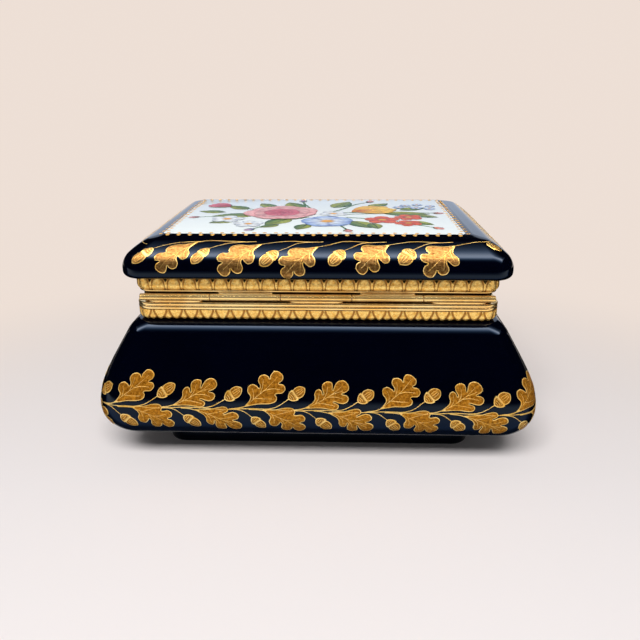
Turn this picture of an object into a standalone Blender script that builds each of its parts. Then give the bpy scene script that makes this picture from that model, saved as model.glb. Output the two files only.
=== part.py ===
import math

import bmesh
import bpy
from mathutils import Matrix, Vector

MM = 0.001

# Porcelain base
BASE_WIDTH = 148 * MM
BASE_DEPTH = 114 * MM
BELLY_HEIGHT = 21.5 * MM
BELLY_CORNER = 10 * MM
UNDERSIDE_HEIGHT = 10.5 * MM
UNDERSIDE_ROUND = 9 * MM
LEDGE_HEIGHT = 49 * MM
SHOULDER_INSET = 11.3 * MM
SHOULDER_CORNER = 6 * MM
SHOULDER_ROUND = 1.2 * MM
SIDE_LEAN = math.radians(29)
SIDE_TOP_HANDLE = 14 * MM
SIDE_BELLY_HANDLE = 8 * MM
FOOT_INSET = 18.8 * MM
FOOT_CORNER = 7 * MM
FOOT_WALL = 5 * MM
FOOT_ROUND = 0.8 * MM
BODY_WALL = 4 * MM
FLOOR_THICKNESS = 4.5 * MM
INNER_ROUND = 6 * MM
INNER_CORNER = 3 * MM
NECK_WALL = 3.2 * MM

# Brass mounts
MOUNT_INSET = 13.4 * MM
MOUNT_CORNER = 5.5 * MM
GALLERY_THICKNESS = 2 * MM
GALLERY_ROUND = 1.2 * MM
BASE_GALLERY_LIFT = 0.8 * MM
BASE_GALLERY_HEIGHT = 3.2 * MM
MOULDING_HEIGHT = 2.4 * MM
BASE_BAND_HEIGHT = 1.65 * MM
LID_BAND_HEIGHT = 1.65 * MM
LID_BEAD_HEIGHT = 0.6 * MM
LID_BEAD_INSET = 14.3 * MM
LID_GALLERY_HEIGHT = 4.25 * MM
BEZEL_THICKNESS = 0.8 * MM
BEZEL_LIP = 3 * MM
BEDDING_THICKNESS = 0.6 * MM

# Porcelain lid, heights above its lower edge
LID_SEAT = 0.4 * MM
LID_EDGE_INSET = 12 * MM
LID_NOSE_INSET = 9.8 * MM
LID_NOSE_RISE = 2.7 * MM
LID_NOSE_CORNER = 7.5 * MM
LID_TURN_INSET = 12 * MM
LID_TURN_RISE = 7.4 * MM
LID_TURN_CORNER = 6 * MM
LID_BREAK_INSET = 17.5 * MM
LID_BREAK_RISE = 11.2 * MM
LID_BREAK_CORNER = 4 * MM
LID_PANEL_INSET = 22.5 * MM
LID_PANEL_RISE = 12.4 * MM
LID_PANEL_CORNER = 1.5 * MM
LID_WALL = 4 * MM

# Handles of the lid's curves, as shares of the runs they belong to
PANEL_HANDLE = 0.4
BREAK_HANDLE = 0.5
TURN_HANDLE = 0.7
FACE_HANDLE = 0.6
NOSE_HANDLE = 0.5

# Hinge
BARREL_OVERHANG = 0.3 * MM
TUBE_RADIUS = 1.15 * MM
TUBE_WALL = 0.45 * MM
BEARER_WIDTH = 18 * MM
BEARER_REACH = 0.7 * MM
BEARER_EDGE = 0.35 * MM

# Clasp
TONGUE_WIDTH = 10 * MM
TONGUE_TIP_WIDTH = 6 * MM
TONGUE_END_WIDTH = 3.6 * MM
TONGUE_THICKNESS = 0.9 * MM
TONGUE_PAD_HEIGHT = 2.6 * MM
TONGUE_CURL = 1.2 * MM
TONGUE_CURL_DROP = 0.7 * MM
STUD_RADIUS = 1.1 * MM
STUD_RISE = 0.95 * MM
RIVET_HEAD_RADIUS = 0.9 * MM
RIVET_HEAD_HEIGHT = 0.5 * MM
RIVET_SPACING = 5 * MM
SHANK_RADIUS = 0.5 * MM

# Clearances
SEAT_GAP = 0.15 * MM
MOVING_GAP = 0.3 * MM
PIN_GAP = 0.1 * MM
TUBE_END_GAP = 0.2 * MM

# Steps of the curves
CORNER_STEPS = 5
CIRCLE_STEPS = 16
SIDE_STEPS = 10
UNDER_STEPS = 7
FLOOR_STEPS = 5
LID_STEPS = 4
FACE_STEPS = 5
EDGE_STEPS = 4
BEAD_STEPS = 6
DOME_STEPS = 4

KNUCKLES = 5

# Insets of the mounts and necks, from the outside in
GALLERY_INNER = MOUNT_INSET + GALLERY_THICKNESS
BEZEL_OUTER = GALLERY_INNER + SEAT_GAP
BEZEL_INNER = BEZEL_OUTER + BEZEL_THICKNESS
BEDDING_OUTER = BEZEL_INNER + SEAT_GAP
BEDDING_INNER = BEDDING_OUTER + BEDDING_THICKNESS
NECK_OUTER = BEDDING_INNER + SEAT_GAP
NECK_INNER = NECK_OUTER + NECK_WALL
LIP_OUTER = NECK_INNER + SEAT_GAP
LIP_INNER = LIP_OUTER + BEZEL_THICKNESS

# Heights, from the floor of the box up
FLOOR_HEIGHT = UNDERSIDE_HEIGHT + FLOOR_THICKNESS
BASE_GALLERY_BOTTOM = LEDGE_HEIGHT + BASE_GALLERY_LIFT
BASE_GALLERY_TOP = BASE_GALLERY_BOTTOM + BASE_GALLERY_HEIGHT
MOULDING_BOTTOM = BASE_GALLERY_TOP + SEAT_GAP
MOULDING_TOP = MOULDING_BOTTOM + MOULDING_HEIGHT
BASE_RIM_HEIGHT = MOULDING_TOP + BASE_BAND_HEIGHT
BASE_NECK_TOP = BASE_RIM_HEIGHT - BEZEL_THICKNESS - SEAT_GAP
LID_RIM_HEIGHT = BASE_RIM_HEIGHT + MOVING_GAP
LID_NECK_BOTTOM = LID_RIM_HEIGHT + BEZEL_THICKNESS + SEAT_GAP
LID_BEAD_BOTTOM = LID_RIM_HEIGHT + LID_BAND_HEIGHT
LID_BEAD_TOP = LID_BEAD_BOTTOM + LID_BEAD_HEIGHT
LID_GALLERY_BOTTOM = LID_BEAD_TOP + SEAT_GAP
LID_GALLERY_TOP = LID_GALLERY_BOTTOM + LID_GALLERY_HEIGHT
LID_EDGE_HEIGHT = LID_GALLERY_TOP + LID_SEAT
LID_CEILING = LID_EDGE_HEIGHT + LID_PANEL_RISE - LID_WALL

# Hinge, along the back of the bezels and halfway between the closing faces
BARREL_LENGTH = BASE_WIDTH - 2 * BEZEL_OUTER + 2 * BARREL_OVERHANG
AXIS_Y = BASE_DEPTH / 2 - BEZEL_OUTER + MOVING_GAP + TUBE_RADIUS
AXIS_Z = (BASE_RIM_HEIGHT + LID_RIM_HEIGHT) / 2
TUBE_BORE = TUBE_RADIUS - TUBE_WALL
PIN_RADIUS = TUBE_BORE - PIN_GAP

# Front faces that the clasp sits on
GALLERY_FRONT = -(BASE_DEPTH / 2 - MOUNT_INSET)
BEZEL_BACK_FRONT = -(BASE_DEPTH / 2 - BEZEL_INNER)
RIVET_HEIGHT = LID_GALLERY_TOP - TONGUE_PAD_HEIGHT / 2 - SEAT_GAP
STUD_HEIGHT = (BASE_GALLERY_BOTTOM + BASE_GALLERY_TOP) / 2
HOLE_RADIUS = SHANK_RADIUS + SEAT_GAP

for old in list(bpy.data.objects):
    bpy.data.objects.remove(old, do_unlink=True)

parts = bpy.data.collections.new("porcelain_jewelry_box")
cutters = bpy.data.collections.new("cutters")
bpy.context.scene.collection.children.link(parts)
bpy.context.scene.collection.children.link(cutters)
cutters.hide_render = True


def make_material(name, colour, roughness, metallic=0.0):
    material = bpy.data.materials.new(name)
    material.use_nodes = True
    shader = material.node_tree.nodes["Principled BSDF"]
    shader.inputs["Base Color"].default_value = (*colour, 1.0)
    shader.inputs["Roughness"].default_value = roughness
    shader.inputs["Metallic"].default_value = metallic
    return material


GLAZE = make_material("cobalt_glaze", (0.008, 0.012, 0.09), 0.08)
BRASS = make_material("gilt_brass", (0.72, 0.47, 0.16), 0.22, 1.0)
PLASTER = make_material("bedding_plaster", (0.78, 0.75, 0.68), 0.9)
STEEL = make_material("pin_steel", (0.55, 0.55, 0.56), 0.3, 1.0)


def add_object(name, mesh, material, collection=parts):
    thing = bpy.data.objects.new(name, mesh)
    collection.objects.link(thing)
    if material:
        mesh.materials.append(material)
    return thing


def mesh_from(name, bm):
    bmesh.ops.recalc_face_normals(bm, faces=bm.faces)
    mesh = bpy.data.meshes.new(name)
    bm.to_mesh(mesh)
    bm.free()
    return mesh


def outline(inset, height, corner):
    """A rounded rectangle, this far inside the widest plan of the base."""
    half_x = BASE_WIDTH / 2 - inset - corner
    half_y = BASE_DEPTH / 2 - inset - corner
    points = []
    for quarter, (side_x, side_y) in enumerate(((1, 1), (-1, 1), (-1, -1), (1, -1))):
        for step in range(CORNER_STEPS + 1):
            angle = (quarter + step / CORNER_STEPS) * math.pi / 2
            points.append(
                Vector(
                    (
                        side_x * half_x + corner * math.cos(angle),
                        side_y * half_y + corner * math.sin(angle),
                        height,
                    )
                )
            )
    return points


def loft(name, sections, material, ring=False):
    """Skins a row of rounded rectangles. A ring closes on its first section, anything else is capped."""
    bm = bmesh.new()
    loops = [[bm.verts.new(p) for p in outline(*section)] for section in sections]
    pairs = list(zip(loops, loops[1:]))
    if ring:
        pairs.append((loops[-1], loops[0]))
    for lower, upper in pairs:
        for i, start in enumerate(lower):
            after = (i + 1) % len(lower)
            bm.faces.new((start, lower[after], upper[after], upper[i]))
    if not ring:
        bm.faces.new(loops[0])
        bm.faces.new(loops[-1])
    return add_object(name, mesh_from(name, bm), material)


def bezier(start, handle_a, handle_b, end, steps):
    points = []
    for i in range(steps + 1):
        t = i / steps
        u = 1 - t
        points.append(u**3 * start + 3 * u * u * t * handle_a + 3 * u * t * t * handle_b + t**3 * end)
    return points


def quarter_round(centre, reach_inset, reach_height, start, end, steps):
    """Part of an ellipse in the plane of inset and height, angles in degrees."""
    points = []
    for i in range(steps + 1):
        angle = math.radians(start + (end - start) * i / steps)
        points.append(
            centre + Vector((reach_inset * math.cos(angle), reach_height * math.sin(angle)))
        )
    return points


def body_corner(inset):
    return BELLY_CORNER + (SHOULDER_CORNER - BELLY_CORNER) * inset / SHOULDER_INSET


def mount_corner(inset):
    return MOUNT_CORNER - (inset - MOUNT_INSET)


def lip_corner(inset):
    return INNER_CORNER - (inset - NECK_INNER)


def on_mount(profile):
    return [(inset, height, mount_corner(inset)) for inset, height in profile]


def turned(name, profile, material, closed=False, collection=parts):
    """A profile of radius and height turned round Z, listed down its outer side."""
    mesh = bpy.data.meshes.new(name)
    edges = [(i, i + 1) for i in range(len(profile) - 1)]
    if closed:
        edges.append((len(profile) - 1, 0))
    mesh.from_pydata([(radius, 0, height) for radius, height in profile], edges, [])
    thing = add_object(name, mesh, material, collection)
    screw = thing.modifiers.new("turn", "SCREW")
    screw.axis = "Z"
    screw.angle = math.tau
    screw.steps = CIRCLE_STEPS
    screw.render_steps = CIRCLE_STEPS
    screw.use_merge_vertices = True
    screw.merge_threshold = 0.00001
    return thing


def extruded(name, points, along, material, collection=parts):
    bm = bmesh.new()
    face = bm.faces.new([bm.verts.new(point) for point in points])
    grown = bmesh.ops.extrude_face_region(bm, geom=[face])
    verts = [item for item in grown["geom"] if isinstance(item, bmesh.types.BMVert)]
    bmesh.ops.translate(bm, verts=verts, vec=along)
    return add_object(name, mesh_from(name, bm), material, collection)


def box(name, low, high, material):
    bm = bmesh.new()
    size = Vector(high) - Vector(low)
    centre = (Vector(high) + Vector(low)) / 2
    bmesh.ops.create_cube(bm, size=1, matrix=Matrix.Translation(centre) @ Matrix.Diagonal((*size, 1)))
    return add_object(name, mesh_from(name, bm), material)


def cutter_rod(name, centre, radius, length, turn):
    """A round cutter along the axis that turn points Z at."""
    bm = bmesh.new()
    matrix = Matrix.Translation(centre) @ turn
    bmesh.ops.create_cone(
        bm,
        cap_ends=True,
        segments=CIRCLE_STEPS,
        radius1=radius,
        radius2=radius,
        depth=length,
        matrix=matrix,
    )
    thing = add_object(name, mesh_from(name, bm), None, cutters)
    thing.hide_render = True
    thing.display_type = "WIRE"
    return thing


def combine(target, other, operation):
    boolean = target.modifiers.new(other.name, "BOOLEAN")
    boolean.operation = operation
    boolean.object = other
    boolean.solver = "EXACT"


ALONG_X = Matrix.Rotation(math.pi / 2, 4, "Y")
ALONG_Y = Matrix.Rotation(-math.pi / 2, 4, "X")
FACING_FRONT = Matrix.Rotation(math.pi / 2, 4, "X")

# Porcelain base: foot ring, underside, belly, shoulder, neck, then down the inside to the floor
shoulder = Vector((SHOULDER_INSET, LEDGE_HEIGHT - SHOULDER_ROUND / 2))
belly = Vector((0, BELLY_HEIGHT))
leaning = Vector((math.sin(SIDE_LEAN), math.cos(SIDE_LEAN)))
side = bezier(
    belly,
    belly + Vector((0, SIDE_BELLY_HANDLE)),
    shoulder - SIDE_TOP_HANDLE * leaning,
    shoulder,
    SIDE_STEPS,
)
under = quarter_round(
    Vector((UNDERSIDE_ROUND, BELLY_HEIGHT)),
    UNDERSIDE_ROUND,
    BELLY_HEIGHT - UNDERSIDE_HEIGHT,
    270,
    180,
    UNDER_STEPS,
)
inside = []
for before, after in zip(side, side[1:]):
    along = (after - before).normalized()
    point = (before + after) / 2 + BODY_WALL * Vector((along.y, -along.x))
    if FLOOR_HEIGHT + INNER_ROUND < point.y < LEDGE_HEIGHT - BODY_WALL:
        inside.append(point)
inside.reverse()
floor_round = quarter_round(
    Vector((BODY_WALL + INNER_ROUND, FLOOR_HEIGHT + INNER_ROUND)),
    INNER_ROUND,
    INNER_ROUND,
    180,
    270,
    FLOOR_STEPS,
)


def inner_corner(inset):
    return max(body_corner(inset - BODY_WALL) - BODY_WALL, INNER_CORNER)


foot_inner = FOOT_INSET + FOOT_WALL
foot_inner_corner = FOOT_CORNER - FOOT_WALL
neck_corner = mount_corner(NECK_OUTER)
sections = [
    (foot_inner, UNDERSIDE_HEIGHT, foot_inner_corner),
    (foot_inner, FOOT_ROUND, foot_inner_corner),
    (foot_inner - FOOT_ROUND, 0, foot_inner_corner + FOOT_ROUND),
    (FOOT_INSET + FOOT_ROUND, 0, FOOT_CORNER - FOOT_ROUND),
    (FOOT_INSET, FOOT_ROUND, FOOT_CORNER),
    (FOOT_INSET, UNDERSIDE_HEIGHT, FOOT_CORNER),
]
sections += [(p.x, p.y, body_corner(p.x)) for p in under]
sections += [(p.x, p.y, body_corner(p.x)) for p in side[1:]]
sections += [
    (SHOULDER_INSET + SHOULDER_ROUND / 2, LEDGE_HEIGHT - SHOULDER_ROUND / 8, SHOULDER_CORNER),
    (SHOULDER_INSET + SHOULDER_ROUND, LEDGE_HEIGHT, SHOULDER_CORNER),
    (NECK_OUTER, LEDGE_HEIGHT, neck_corner),
    (NECK_OUTER, BASE_NECK_TOP, neck_corner),
    (NECK_INNER, BASE_NECK_TOP, INNER_CORNER),
    (NECK_INNER, LEDGE_HEIGHT - BODY_WALL, INNER_CORNER),
]
sections += [(p.x, p.y, inner_corner(p.x)) for p in inside]
sections += [(p.x, p.y, inner_corner(p.x)) for p in floor_round]
loft("base_body", sections, GLAZE)

# Porcelain lid: from the panel down the outside, round the edge, down the neck and up the inside
edge = Vector((LID_EDGE_INSET, LID_EDGE_HEIGHT))
nose = Vector((LID_NOSE_INSET, LID_EDGE_HEIGHT + LID_NOSE_RISE))
turn = Vector((LID_TURN_INSET, LID_EDGE_HEIGHT + LID_TURN_RISE))
crest = Vector((LID_BREAK_INSET, LID_EDGE_HEIGHT + LID_BREAK_RISE))
panel = Vector((LID_PANEL_INSET, LID_EDGE_HEIGHT + LID_PANEL_RISE))
slope = (crest - turn) / 3
top_slope = bezier(panel, panel.lerp(crest, PANEL_HANDLE), crest + slope * BREAK_HANDLE, crest, LID_STEPS)
face_slope = bezier(crest, crest - slope, turn + slope * TURN_HANDLE, turn, LID_STEPS)
nose_handle = nose + Vector((0, (turn.y - nose.y) * NOSE_HANDLE))
face_nose = bezier(turn, turn - slope * FACE_HANDLE, nose_handle, nose, FACE_STEPS)
face_edge = quarter_round(
    Vector((edge.x, nose.y)), edge.x - nose.x, nose.y - edge.y, 180, 270, EDGE_STEPS
)


def lid_sections(points, first, last):
    """Sections along a run of the profile, with the corner radius going from first to last."""
    count = len(points) - 1
    return [(p.x, p.y, first + (last - first) * i / count) for i, p in enumerate(points)]


sections = lid_sections(top_slope, LID_PANEL_CORNER, LID_BREAK_CORNER)
sections += lid_sections(face_slope, LID_BREAK_CORNER, LID_TURN_CORNER)[1:]
sections += lid_sections(face_nose, LID_TURN_CORNER, LID_NOSE_CORNER)[1:]
sections += lid_sections(face_edge, LID_NOSE_CORNER, LID_NOSE_CORNER - edge.x + nose.x)[1:]
ceiling_round = quarter_round(
    Vector((NECK_INNER + INNER_CORNER, LID_CEILING - INNER_CORNER)),
    INNER_CORNER,
    INNER_CORNER,
    180,
    90,
    EDGE_STEPS,
)
sections += [
    (NECK_OUTER, LID_EDGE_HEIGHT, neck_corner),
    (NECK_OUTER, LID_NECK_BOTTOM, neck_corner),
    (NECK_INNER, LID_NECK_BOTTOM, INNER_CORNER),
]
sections += [(p.x, p.y, INNER_CORNER) for p in ceiling_round]
lid_body = loft("lid_body", sections, GLAZE)


def bezel(name, closing, inward, tail):
    """A brass channel over the top of a neck, with its outer leg to the tail height and a short inner lip."""
    under_face = closing + inward * BEZEL_THICKNESS
    lip_end = closing + inward * BEZEL_LIP
    return loft(
        name,
        [
            (BEZEL_OUTER, tail, mount_corner(BEZEL_OUTER)),
            (BEZEL_OUTER, closing, mount_corner(BEZEL_OUTER)),
            (LIP_INNER, closing, lip_corner(LIP_INNER)),
            (LIP_INNER, lip_end, lip_corner(LIP_INNER)),
            (LIP_OUTER, lip_end, lip_corner(LIP_OUTER)),
            (LIP_OUTER, under_face, lip_corner(LIP_OUTER)),
            (BEZEL_INNER, under_face, mount_corner(BEZEL_INNER)),
            (BEZEL_INNER, tail, mount_corner(BEZEL_INNER)),
        ],
        BRASS,
        ring=True,
    )


def gallery(name, plain, leafy):
    """A stamped strip, upright at its plain edge and rounded in towards its other edge."""
    way = 1 if leafy > plain else -1
    arc = quarter_round(
        Vector((MOUNT_INSET + GALLERY_ROUND, leafy - way * GALLERY_ROUND)),
        GALLERY_ROUND,
        way * GALLERY_ROUND,
        180,
        90,
        EDGE_STEPS,
    )
    profile = [(GALLERY_INNER, plain), (MOUNT_INSET, plain)]
    profile += [(p.x, p.y) for p in arc]
    profile.append((GALLERY_INNER, leafy))
    return loft(name, on_mount(profile), BRASS, ring=True)


base_bezel = bezel("base_bezel", BASE_RIM_HEIGHT, -1, LEDGE_HEIGHT + SEAT_GAP)
lid_bezel = bezel("lid_bezel", LID_RIM_HEIGHT, 1, LID_GALLERY_TOP)
base_gallery = gallery("base_gallery", BASE_GALLERY_TOP, BASE_GALLERY_BOTTOM)
lid_gallery = gallery("lid_gallery", LID_GALLERY_TOP, LID_GALLERY_BOTTOM)

# Drawn mouldings: two beads on the base mount and one thin bead on the lid mount
bead = MOULDING_HEIGHT / 4
profile = [(GALLERY_INNER, MOULDING_BOTTOM)]
for height in (MOULDING_BOTTOM + bead, MOULDING_TOP - bead):
    profile += [
        (p.x, p.y)
        for p in quarter_round(Vector((MOUNT_INSET + bead, height)), bead, bead, 270, 90, BEAD_STEPS)
    ]
profile.append((GALLERY_INNER, MOULDING_TOP))
loft("base_moulding", on_mount(profile), BRASS, ring=True)

bead = LID_BEAD_HEIGHT / 2
profile = [(GALLERY_INNER, LID_BEAD_BOTTOM)]
bead_centre = Vector((LID_BEAD_INSET + bead, LID_BEAD_BOTTOM + bead))
profile += [(p.x, p.y) for p in quarter_round(bead_centre, bead, bead, 270, 90, BEAD_STEPS)]
profile.append((GALLERY_INNER, LID_BEAD_TOP))
lid_bead = loft("lid_bead", on_mount(profile), BRASS, ring=True)


def bedding(name, low, high):
    corners = [(BEDDING_OUTER, low), (BEDDING_OUTER, high), (BEDDING_INNER, high), (BEDDING_INNER, low)]
    return loft(name, on_mount(corners), PLASTER, ring=True)


bedding("base_bedding", LEDGE_HEIGHT + SEAT_GAP, BASE_NECK_TOP)
lid_bedding = bedding("lid_bedding", LID_NECK_BOTTOM, LID_EDGE_HEIGHT - SEAT_GAP)

# Hinge: five equal tubes on one pin, each with a bearer to its own mount
tube_pitch = BARREL_LENGTH / KNUCKLES
half_tube = (tube_pitch - TUBE_END_GAP) / 2
tube_profile = [
    (TUBE_RADIUS, half_tube),
    (TUBE_RADIUS, -half_tube),
    (TUBE_BORE, -half_tube),
    (TUBE_BORE, half_tube),
]
knuckles = (
    ("base_left", -2),
    ("lid_left", -1),
    ("base_middle", 0),
    ("lid_right", 1),
    ("base_right", 2),
)
bearer_back = AXIS_Y + BEARER_REACH
bearer_front = BASE_DEPTH / 2 - BEZEL_OUTER + SEAT_GAP
moving = [lid_body, lid_bezel, lid_gallery, lid_bead, lid_bedding]
barrel_cut = cutter_rod(
    "barrel_cut", Vector((0, AXIS_Y, AXIS_Z)), TUBE_RADIUS + SEAT_GAP, BARREL_LENGTH * 1.2, ALONG_X
)
for place, step in knuckles:
    middle = step * tube_pitch
    tube = turned("hinge_tube_" + place, tube_profile, BRASS, closed=True)
    tube.matrix_world = Matrix.Translation((middle, AXIS_Y, AXIS_Z)) @ ALONG_X
    on_lid = place.startswith("lid")
    if on_lid:
        low, high = AXIS_Z + BEARER_EDGE, LID_BEAD_BOTTOM - SEAT_GAP
    else:
        low, high = MOULDING_TOP + SEAT_GAP, AXIS_Z - BEARER_EDGE
    bearer = box(
        "hinge_bearer_" + place,
        (middle - BEARER_WIDTH / 2, bearer_front, low),
        (middle + BEARER_WIDTH / 2, bearer_back, high),
        BRASS,
    )
    combine(bearer, barrel_cut, "DIFFERENCE")
    if on_lid:
        moving += [tube, bearer]

half_pin = BARREL_LENGTH / 2 - TUBE_END_GAP / 2
pin_profile = [(0, half_pin), (PIN_RADIUS, half_pin), (PIN_RADIUS, -half_pin), (0, -half_pin)]
pin = turned("hinge_pin", pin_profile, STEEL)
pin.matrix_world = Matrix.Translation((0, AXIS_Y, AXIS_Z)) @ ALONG_X

# Clasp: a joggled tongue riveted to the lid mount, hanging in front of a stud on the base mount
pad_front = GALLERY_FRONT - SEAT_GAP - TONGUE_THICKNESS
hang_back = GALLERY_FRONT - STUD_RISE - MOVING_GAP
hang_front = hang_back - TONGUE_THICKNESS
pad_top = LID_GALLERY_TOP - SEAT_GAP
pad_bottom = pad_top - TONGUE_PAD_HEIGHT
joggle = pad_bottom - (STUD_RISE + MOVING_GAP)
curl = STUD_HEIGHT - STUD_RADIUS / 2
tip = curl - TONGUE_CURL_DROP
curl_bend = math.atan2(TONGUE_CURL, TONGUE_CURL_DROP)
tip_across = TONGUE_THICKNESS * Vector((math.cos(curl_bend), -math.sin(curl_bend)))
curl_mitre = TONGUE_THICKNESS * math.tan(curl_bend / 2)
tongue_side = [
    (pad_front, pad_top),
    (pad_front, pad_bottom),
    (hang_front, joggle),
    (hang_front, curl),
    (hang_front - TONGUE_CURL, tip),
    (hang_front - TONGUE_CURL + tip_across.x, tip + tip_across.y),
    (hang_back, curl - curl_mitre),
    (hang_back, joggle),
    (GALLERY_FRONT - SEAT_GAP, pad_bottom),
    (GALLERY_FRONT - SEAT_GAP, pad_top),
]
clasp_tongue = extruded(
    "clasp_tongue",
    [(-TONGUE_WIDTH, y, z) for y, z in tongue_side],
    (TONGUE_WIDTH * 2, 0, 0),
    BRASS,
)
half_tip = TONGUE_TIP_WIDTH / 2
half_end = TONGUE_END_WIDTH / 2
half_top = TONGUE_WIDTH / 2
reach = 4 * (STUD_RISE + TONGUE_THICKNESS + TONGUE_CURL)
shield = [
    (-half_top, pad_top + TONGUE_THICKNESS),
    (-half_top, pad_bottom),
    (-half_tip, curl),
    (-half_end, tip - TONGUE_THICKNESS),
    (half_end, tip - TONGUE_THICKNESS),
    (half_tip, curl),
    (half_top, pad_bottom),
    (half_top, pad_top + TONGUE_THICKNESS),
]
shield_cut = extruded(
    "shield_cut",
    [(x, GALLERY_FRONT + reach, z) for x, z in shield],
    (0, -2 * reach, 0),
    None,
    cutters,
)
shield_cut.hide_render = True
shield_cut.display_type = "WIRE"
combine(clasp_tongue, shield_cut, "INTERSECT")
moving.append(clasp_tongue)



def headed(radius, rise, length):
    """The profile of a domed head on a shank."""
    head = [(p.x, p.y) for p in quarter_round(Vector((0, 0)), radius, rise, 90, 0, DOME_STEPS)]
    return [(0, rise)] + head[1:] + [(SHANK_RADIUS, 0), (SHANK_RADIUS, -length), (0, -length)]


shank_end = BEZEL_BACK_FRONT
hole_length = 4 * (BEZEL_INNER - MOUNT_INSET)
for place, way in (("left", -1), ("right", 1)):
    x = way * RIVET_SPACING / 2
    seat = Vector((x, GALLERY_FRONT, RIVET_HEIGHT))
    hole = cutter_rod("rivet_hole_" + place, seat, HOLE_RADIUS, hole_length, ALONG_Y)
    for holed in (clasp_tongue, lid_gallery, lid_bezel):
        combine(holed, hole, "DIFFERENCE")
    head_back = pad_front - SEAT_GAP
    length = shank_end - head_back
    rivet = turned("clasp_rivet_" + place, headed(RIVET_HEAD_RADIUS, RIVET_HEAD_HEIGHT, length), BRASS)
    rivet.matrix_world = Matrix.Translation((x, head_back, RIVET_HEIGHT)) @ FACING_FRONT
    moving.append(rivet)

stud_seat = Vector((0, GALLERY_FRONT, STUD_HEIGHT))
stud_hole = cutter_rod("stud_hole", stud_seat, HOLE_RADIUS, hole_length, ALONG_Y)
combine(base_gallery, stud_hole, "DIFFERENCE")
combine(base_bezel, stud_hole, "DIFFERENCE")
stud_back = GALLERY_FRONT - SEAT_GAP
dome = STUD_RISE - SEAT_GAP
shank = shank_end - stud_back
stud = turned("clasp_stud", headed(STUD_RADIUS, dome, shank), BRASS)
stud.matrix_world = Matrix.Translation((0, stud_back, STUD_HEIGHT)) @ FACING_FRONT

# The lid's pieces turn about the pin
lid_axis = bpy.data.objects.new("lid_axis", None)
parts.objects.link(lid_axis)
lid_axis.location = (0, AXIS_Y, AXIS_Z)
bpy.context.view_layer.update()
for thing in moving:
    thing.parent = lid_axis
    thing.matrix_parent_inverse = lid_axis.matrix_world.inverted()
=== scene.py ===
import math
import random

import bmesh
import bpy
import numpy as np
from mathutils import Matrix, Vector
from mathutils.geometry import delaunay_2d_cdt


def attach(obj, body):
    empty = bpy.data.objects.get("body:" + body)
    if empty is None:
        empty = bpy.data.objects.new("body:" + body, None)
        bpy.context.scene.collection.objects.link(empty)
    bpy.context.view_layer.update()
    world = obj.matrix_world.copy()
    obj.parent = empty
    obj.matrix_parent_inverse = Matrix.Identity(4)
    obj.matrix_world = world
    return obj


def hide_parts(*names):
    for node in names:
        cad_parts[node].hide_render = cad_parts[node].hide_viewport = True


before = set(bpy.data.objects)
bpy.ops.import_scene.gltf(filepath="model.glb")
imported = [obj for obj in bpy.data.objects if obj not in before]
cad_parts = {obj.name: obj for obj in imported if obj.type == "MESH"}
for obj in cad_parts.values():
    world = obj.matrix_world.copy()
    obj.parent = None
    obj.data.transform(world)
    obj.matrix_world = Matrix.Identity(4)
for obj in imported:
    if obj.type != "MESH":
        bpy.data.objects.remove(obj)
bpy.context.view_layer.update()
print("frame:", len(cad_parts), "nodes")

# All sizes below are in mm unless a note says otherwise. The back of the box, with the hinge, is +Y.
mm = 0.001
plan = {"width": 148.0, "depth": 114.0}
hand = random.Random(11)  # small unevenness of hand work


# Shader helpers

noiseSpan = {"From Min": 0.3, "From Max": 0.7}  # most values of a noise lie in here
glazeNoise = {
    "pooling": {"Detail": 4.0, "Roughness": 0.55}, "skin": {"Detail": 2.0, "Roughness": 0.4},
    "finer": 9.0,  # how much finer the skin is than the pooling
}
wearNoise = {
    "toning": {"Detail": 6.0, "Roughness": 0.65}, "pits": {"Detail": 3.0, "Roughness": 0.6},
    "toningSpan": {"From Min": 0.36, "From Max": 0.64},
}
brushSpan = {"From Min": 0.35, "From Max": 0.65, "To Min": 0.78, "To Max": 1.16}


def addNode(tree, kind, x, y, **settings):
    node = tree.nodes.new(kind)
    node.location = (x, y)
    for key, value in settings.items():
        setattr(node, key, value)
    return node


def setInputs(node, **values):
    for key, value in values.items():
        node.inputs[key].default_value = value
    return node


def newGroup(name, inputs, outputs):
    tree = bpy.data.node_groups.new(name, "ShaderNodeTree")
    for label, value in inputs:
        socket = tree.interface.new_socket(label, in_out="INPUT", socket_type="NodeSocketFloat")
        socket.default_value = value
    for label in outputs:
        tree.interface.new_socket(label, in_out="OUTPUT", socket_type="NodeSocketFloat")
    return tree, addNode(tree, "NodeGroupInput", -900, 0), addNode(tree, "NodeGroupOutput", 700, 0)


def spreadRoughness(tree, source, given, x, y):
    # roughness from Gloss - Spread to Gloss + Spread as the source goes from dark to light
    low = addNode(tree, "ShaderNodeMath", x, y, operation="SUBTRACT")
    high = addNode(tree, "ShaderNodeMath", x, y - 160, operation="ADD")
    tree.links.new(given.outputs["Gloss"], low.inputs[0])
    tree.links.new(given.outputs["Spread"], low.inputs[1])
    tree.links.new(given.outputs["Gloss"], high.inputs[0])
    tree.links.new(given.outputs["Spread"], high.inputs[1])
    ranged = addNode(tree, "ShaderNodeMapRange", x + 200, y)
    setInputs(ranged, **noiseSpan)
    tree.links.new(source, ranged.inputs["Value"])
    tree.links.new(low.outputs[0], ranged.inputs["To Min"])
    tree.links.new(high.outputs[0], ranged.inputs["To Max"])
    return ranged.outputs["Result"]


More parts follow.
